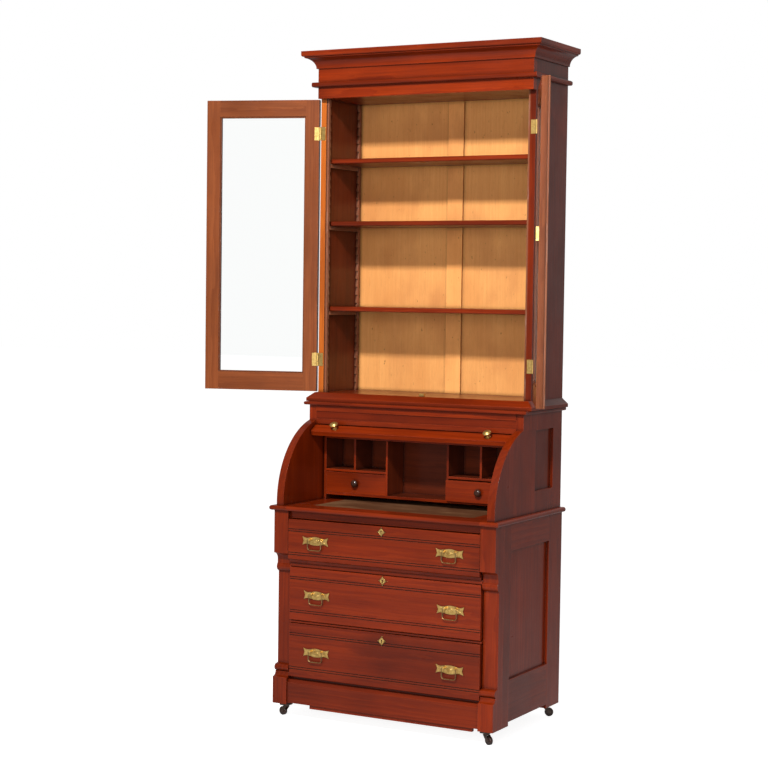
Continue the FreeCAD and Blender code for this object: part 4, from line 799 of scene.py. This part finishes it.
print("bench ready, in", bpy.context.mode, "mode")

# %% [markdown]
# A countersunk screw is a disc with a slightly domed rim and a slot across it.
# Two cuts across a disc give the slot its edges, and pushing the strip between
# them down gives it its depth.  It is modelled head up, standing on its disc,
# and then let into the leaf until only the top of the dome is proud.

# %% Turn one slotted screw


def slotted_screw(radius):
    """A screw's head, in proportion to its radius, standing on the XY plane."""
    clear_bench()
    bpy.ops.mesh.primitive_circle_add(vertices=28, radius=radius, fill_type="NGON")
    screw = bpy.context.object
    screw.name = "screw_pattern"
    begin_edit(screw)
    bpy.ops.mesh.select_all(action="SELECT")
    bpy.ops.mesh.extrude_region_move(
        TRANSFORM_OT_translate={"value": (0, 0, 0.22 * radius)})
    bpy.ops.mesh.inset(thickness=0.18 * radius)
    bpy.ops.transform.translate(value=(0, 0, 0.07 * radius))
    slot_half = 0.15 * radius
    for across in (-slot_half, slot_half):
        bpy.ops.mesh.select_all(action="SELECT")
        bpy.ops.mesh.bisect(plane_co=(0, across, 0), plane_no=(0, 1, 0))
    pick_faces(screw, lambda face: face.normal.z > 0.9
               and abs(face.center.y) < slot_half * 0.9
               and face.center.z > 0.2 * radius)
    bpy.ops.mesh.extrude_region_move(
        TRANSFORM_OT_translate={"value": (0, 0, -0.04 * radius)})
    end_edit(30)
    return screw


def seat(spot, facing, spin):
    """Carry a pattern from the origin, +Z up, to a spot on a face."""
    turn_up = Vector(facing).to_track_quat("Z", "Y").to_matrix().to_4x4()
    return (Matrix.Translation(spot) @ turn_up
            @ Matrix.Rotation(math.radians(spin), 4, "Z"))


print("slotted_screw is ready to be turned")

# %% [markdown]
# Three screws hold each leaf of a hinge.  One leaf lies on the case, the other on
# the door, and the door's screws are placed as if it were shut and then swung
# with it about the pin.  The slots stay as they fall, each at a turn of its own.

# %% Drive the hinge screws
screw_radius = 2.6 * mm
screw = slotted_screw(screw_radius)
chance = random.Random("screws")
# Where the hinge pins stand, and where a leaf's face and middle are from them.
pin_x, pin_y = 434.6 * mm, 4.25 * mm
leaf_face, leaf_middle = 0.05 * mm, 12.3 * mm
sunk = 0.275 * screw_radius
hinge_middles = (2105 * mm, 1276 * mm)
screw_gap = 16 * mm
screw_heights = [middle + step for middle in hinge_middles
                 for step in (-screw_gap, 0, screw_gap)]
case_screws = []
for side, sign in (("left", -1), ("right", 1)):
    swing = (Matrix.Translation((sign * pin_x, pin_y, 0))
             @ Matrix.Rotation(math.radians(door_turn[side]), 4, "Z"))
    door_screws = []
    for height in screw_heights:
        spin = chance.uniform(0, 180)
        on_door = Vector((-sign * leaf_middle, -leaf_face - sunk, height))
        door_screws.append(swing @ seat(on_door, (0, 1, 0), spin))
        on_case = Vector((sign * (pin_x - leaf_middle), pin_y + leaf_face + sunk,
                          height))
        case_screws.append(seat(on_case, (0, -1, 0), spin + 35))
    set_out(f"hinge_screws_{side}_door", screw, door_screws, brass,
            f"{side}_door")
set_out("hinge_screws_case", screw, case_screws, brass, "desk")
put_away(screw)
print(len(case_screws) * 2, "hinge screws driven")

# %% [markdown]
# The pulls are thin cast plates.  A founder's pattern maker chases a border
# along the edge, and builds the ornament from one punch: a long drop, pressed
# again and again at different sizes.  We do the same.  The border is a copy of
# the plate's face, cut down to its rim by an inset and then raised.

# %% Chase a border round every pull and keyhole plate


def chased_border(drawer, plate_y):
    """A raised rim on the flat front of a drawer's plates."""
    source = nodes[f"drawer_{drawer}_brass"]
    rim = bpy.data.objects.new(f"plate_border_{drawer}", source.data.copy())
    bpy.context.scene.collection.objects.link(rim)
    clear_bench()
    begin_edit(rim)
    bpy.ops.mesh.select_all(action="SELECT")
    bpy.ops.mesh.remove_doubles(threshold=0.00001)
    pick_faces(rim, lambda face: not (face.normal.y < -0.99
               and abs(face.center.y - plate_y) < 0.05 * mm))
    bpy.ops.mesh.delete(type="FACE")
    bpy.ops.mesh.select_all(action="SELECT")
    bpy.ops.mesh.dissolve_limited(angle_limit=0.02)
    bpy.ops.mesh.select_all(action="SELECT")
    bpy.ops.mesh.inset(thickness=1.5 * mm, depth=0)
    bpy.ops.mesh.delete(type="FACE")
    bpy.ops.mesh.select_all(action="SELECT")
    bpy.ops.mesh.extrude_region_move(
        TRANSFORM_OT_translate={"value": (0, -0.55 * mm, 0)})
    end_edit(40)
    rim.data.materials.clear()
    rim.data.materials.append(brass)
    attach(rim, f"{drawer}_drawer")
    return rim


plate_front = {}
for drawer in long_drawers:
    front_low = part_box(f"drawer_{drawer}_front")[0]
    levels = {round(v.co.y, 5) for v in nodes[f"drawer_{drawer}_brass"].data.vertices}
    behind = min(level for level in levels if level > front_low.y - 0.1 * mm)
    plate_front[drawer] = max(level for level in levels if level < behind - 0.2 * mm)
    rim = chased_border(drawer, plate_front[drawer])
    print(rim.name, len(rim.data.polygons), "faces, plate front at",
          round(plate_front[drawer], 4))

# %% [markdown]
# The punch leaves a drop: a disc that is raised, and then drawn in and lifted
# three times, less each time.  Pressed long it is a leaf, pressed round a pearl.

# %% Cut the drop punch


def drop_punch():
    """A rounded drop, one unit long and wide, standing on the XY plane."""
    clear_bench()
    bpy.ops.mesh.primitive_circle_add(vertices=18, radius=0.5, fill_type="NGON")
    drop = bpy.context.object
    drop.name = "drop_pattern"
    begin_edit(drop)
    bpy.ops.mesh.select_all(action="SELECT")
    bpy.ops.mesh.extrude_region_move(TRANSFORM_OT_translate={"value": (0, 0, 0.4)})
    for inward, lift in ((0.08, 0.28), (0.14, 0.2), (0.14, 0.1)):
        bpy.ops.mesh.inset(thickness=inward)
        bpy.ops.transform.translate(value=(0, 0, lift))
    end_edit(60)
    return drop


def pressed(spot, long, wide, high, angle=0):
    """Where a drop goes on a front: long and wide in the face, high out of it."""
    face_out = Matrix.Rotation(math.radians(90), 4, "X")
    return (Matrix.Translation(spot) @ face_out
            @ Matrix.Rotation(math.radians(angle), 4, "Z")
            @ Matrix.Diagonal((long, wide, high, 1)))


drop = drop_punch()
print("drop pattern:", len(drop.data.polygons), "faces")

# %% [markdown]
# The boss of a pull gets one broad drop with a ring of pearls round it, each tail
# of the plate a spray of leaves, and the star round the keyhole four pearls.

# %% Press the ornament
pull_x = 266 * mm
pull_heights = {"top": 644 * mm, "middle": 448 * mm, "bottom": 243 * mm}
star_heights = {"top": 697 * mm, "middle": 525 * mm, "bottom": 314 * mm}
pearls = 16
pearl_ring_x, pearl_ring_z = 12.2, 8.0
tail_out, leaf_out, leaf_lean = 27, 7.5, 32
star_points = ((15.5, 0), (-15.5, 0), (0, 16.5), (0, -16.5))
for drawer, height in pull_heights.items():
    y = plate_front[drawer] + 0.05 * mm
    places = []
    for side in (-1, 1):
        middle = Vector((side * pull_x, y, height))
        places.append(pressed(middle, 20 * mm, 12 * mm, 1.5 * mm))
        # Pearls round the boss.
        for index in range(pearls):
            turn = 2 * math.pi * index / pearls
            spot = middle + Vector((pearl_ring_x * math.cos(turn), 0,
                                    pearl_ring_z * math.sin(turn))) * mm
            places.append(pressed(spot, 2.1 * mm, 2.1 * mm, 0.8 * mm))
        # A spray of three leaves in each fish tail, with a bud at its root.
        for way in (-1, 1):
            root = middle + Vector((way * tail_out * mm, 0, 0))
            for lean in (-leaf_lean, 0, leaf_lean):
                arm = math.radians(lean)
                spot = root + Vector((way * leaf_out * math.cos(arm), 0,
                                      leaf_out * math.sin(arm))) * mm
                places.append(pressed(spot, 14 * mm, 3.6 * mm, 0.9 * mm, way * lean))
            places.append(pressed(root, 4.4 * mm, 4.4 * mm, 1.2 * mm))
    # A pearl in each point of the star round the keyhole.
    star = Vector((0, y, star_heights[drawer]))
    for across, rise in star_points:
        places.append(pressed(star + Vector((across, 0, rise)) * mm, 2.2 * mm,
                              2.2 * mm, 0.9 * mm))
    ornament = set_out(f"plate_ornament_{drawer}", drop, places, brass,
                       f"{drawer}_drawer")
    print(ornament.name, len(places), "drops,", len(ornament.data.polygons), "faces")
put_away(drop)

# %% [markdown]
# The two wide panels of the bookcase's back are nailed down both edges.  A wire
# nail has a small round head: a disc lifted and drawn in.  No two are driven
# quite in line.

# %% Nail the back panels


def nail_head(radius):
    """A low round head, standing on the XY plane."""
    clear_bench()
    bpy.ops.mesh.primitive_circle_add(vertices=10, radius=radius, fill_type="NGON")
    nail = bpy.context.object
    nail.name = "nail_pattern"
    begin_edit(nail)
    bpy.ops.mesh.select_all(action="SELECT")
    bpy.ops.mesh.extrude_region_move(TRANSFORM_OT_translate={"value": (0, 0, 0.3 * mm)})
    bpy.ops.mesh.inset(thickness=0.3 * radius)
    bpy.ops.transform.translate(value=(0, 0, 0.15 * mm))
    end_edit(30)
    return nail


nail = nail_head(1.8 * mm)
low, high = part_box("bookcase_back")
nail_rows = 11
rows = np.linspace(low.z + 14 * mm, high.z - 20 * mm, nail_rows)
strip_half, from_edge = 31 * mm, 12 * mm
chance = random.Random("nails")
places = []
for side in (-1, 1):
    for column in (strip_half + from_edge, high.x - from_edge):
        for row in rows:
            spot = Vector((side * column + chance.uniform(-2, 2) * mm, high.y,
                           row + chance.uniform(-3, 3) * mm))
            places.append(seat(spot, (0, 1, 0), chance.uniform(0, 90)))
set_out("back_board_nails", nail, places, iron, "desk")
put_away(nail)
print(len(places), "nails in the back panels")

# %% [markdown]
# ## Dovetails
# The long drawers are dovetailed at the front, which shows once one is pulled
# out.  Between the tails of the side stand the pins of the front: wedges that
# are narrow towards the front and wide behind, so that the side can't be drawn
# off backwards.  One pin is a thin plate with its far end drawn wider.

# %% Cut the dovetails


def dovetail_pin(length, narrow, wide, thick):
    """One pin lying in XY: its narrow end at the origin, widening along +X."""
    clear_bench()
    bpy.ops.mesh.primitive_plane_add(size=1, location=(0.5, 0, 0))
    pin = bpy.context.object
    pin.name = "pin_pattern"
    bpy.ops.object.transform_apply(location=True)
    begin_edit(pin)
    bpy.ops.mesh.select_all(action="SELECT")
    bpy.ops.transform.resize(value=(length, narrow, 1), center_override=(0, 0, 0))
    bpy.ops.mesh.select_mode(type="VERT")
    bpy.ops.mesh.select_all(action="DESELECT")
    bpy.ops.object.mode_set(mode="OBJECT")
    for point in pin.data.vertices:
        point.select = point.co.x > length * 0.5
    bpy.ops.object.mode_set(mode="EDIT")
    bpy.ops.transform.resize(value=(1, wide / narrow, 1), center_override=(length, 0, 0))
    bpy.ops.mesh.select_mode(type="FACE")
    bpy.ops.mesh.select_all(action="SELECT")
    bpy.ops.mesh.extrude_region_move(TRANSFORM_OT_translate={"value": (0, 0, thick)})
    bpy.ops.mesh.inset(thickness=0.4 * mm)
    bpy.ops.transform.translate(value=(0, 0, 0.1 * mm))
    end_edit(20)
    return pin


pin = dovetail_pin(14 * mm, 6 * mm, 13 * mm, 0.12 * mm)
print("pin pattern:", len(pin.data.polygons), "faces")

# %% [markdown]
# How many pins there are follows from the height of the drawer.  Its side is
# shared out into equal tails, and a pin stands between each two of them.

# %% Set the pins in the drawer sides
tail_width = 36 * mm
for drawer in long_drawers:
    low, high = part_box(f"drawer_{drawer}_box")
    tails = max(3, round((high.z - low.z) / tail_width))
    pitch = (high.z - low.z) / tails
    places = []
    for side in (-1, 1):
        backward, outward = Vector((0, 1, 0)), Vector((side, 0, 0))
        basis = Matrix((backward, outward.cross(backward), outward))
        for index in range(1, tails):
            spot = Vector((side * high.x, low.y + 0.3 * mm, low.z + pitch * index))
            places.append(Matrix.Translation(spot) @ basis.transposed().to_4x4())
    pins = set_out(f"dovetail_pins_{drawer}", pin, places, mahogany,
                   f"{drawer}_drawer")
    print(drawer, "drawer:", len(places), "pins on", lay_grain(pins), "boards")
put_away(pin)

# %% [markdown]
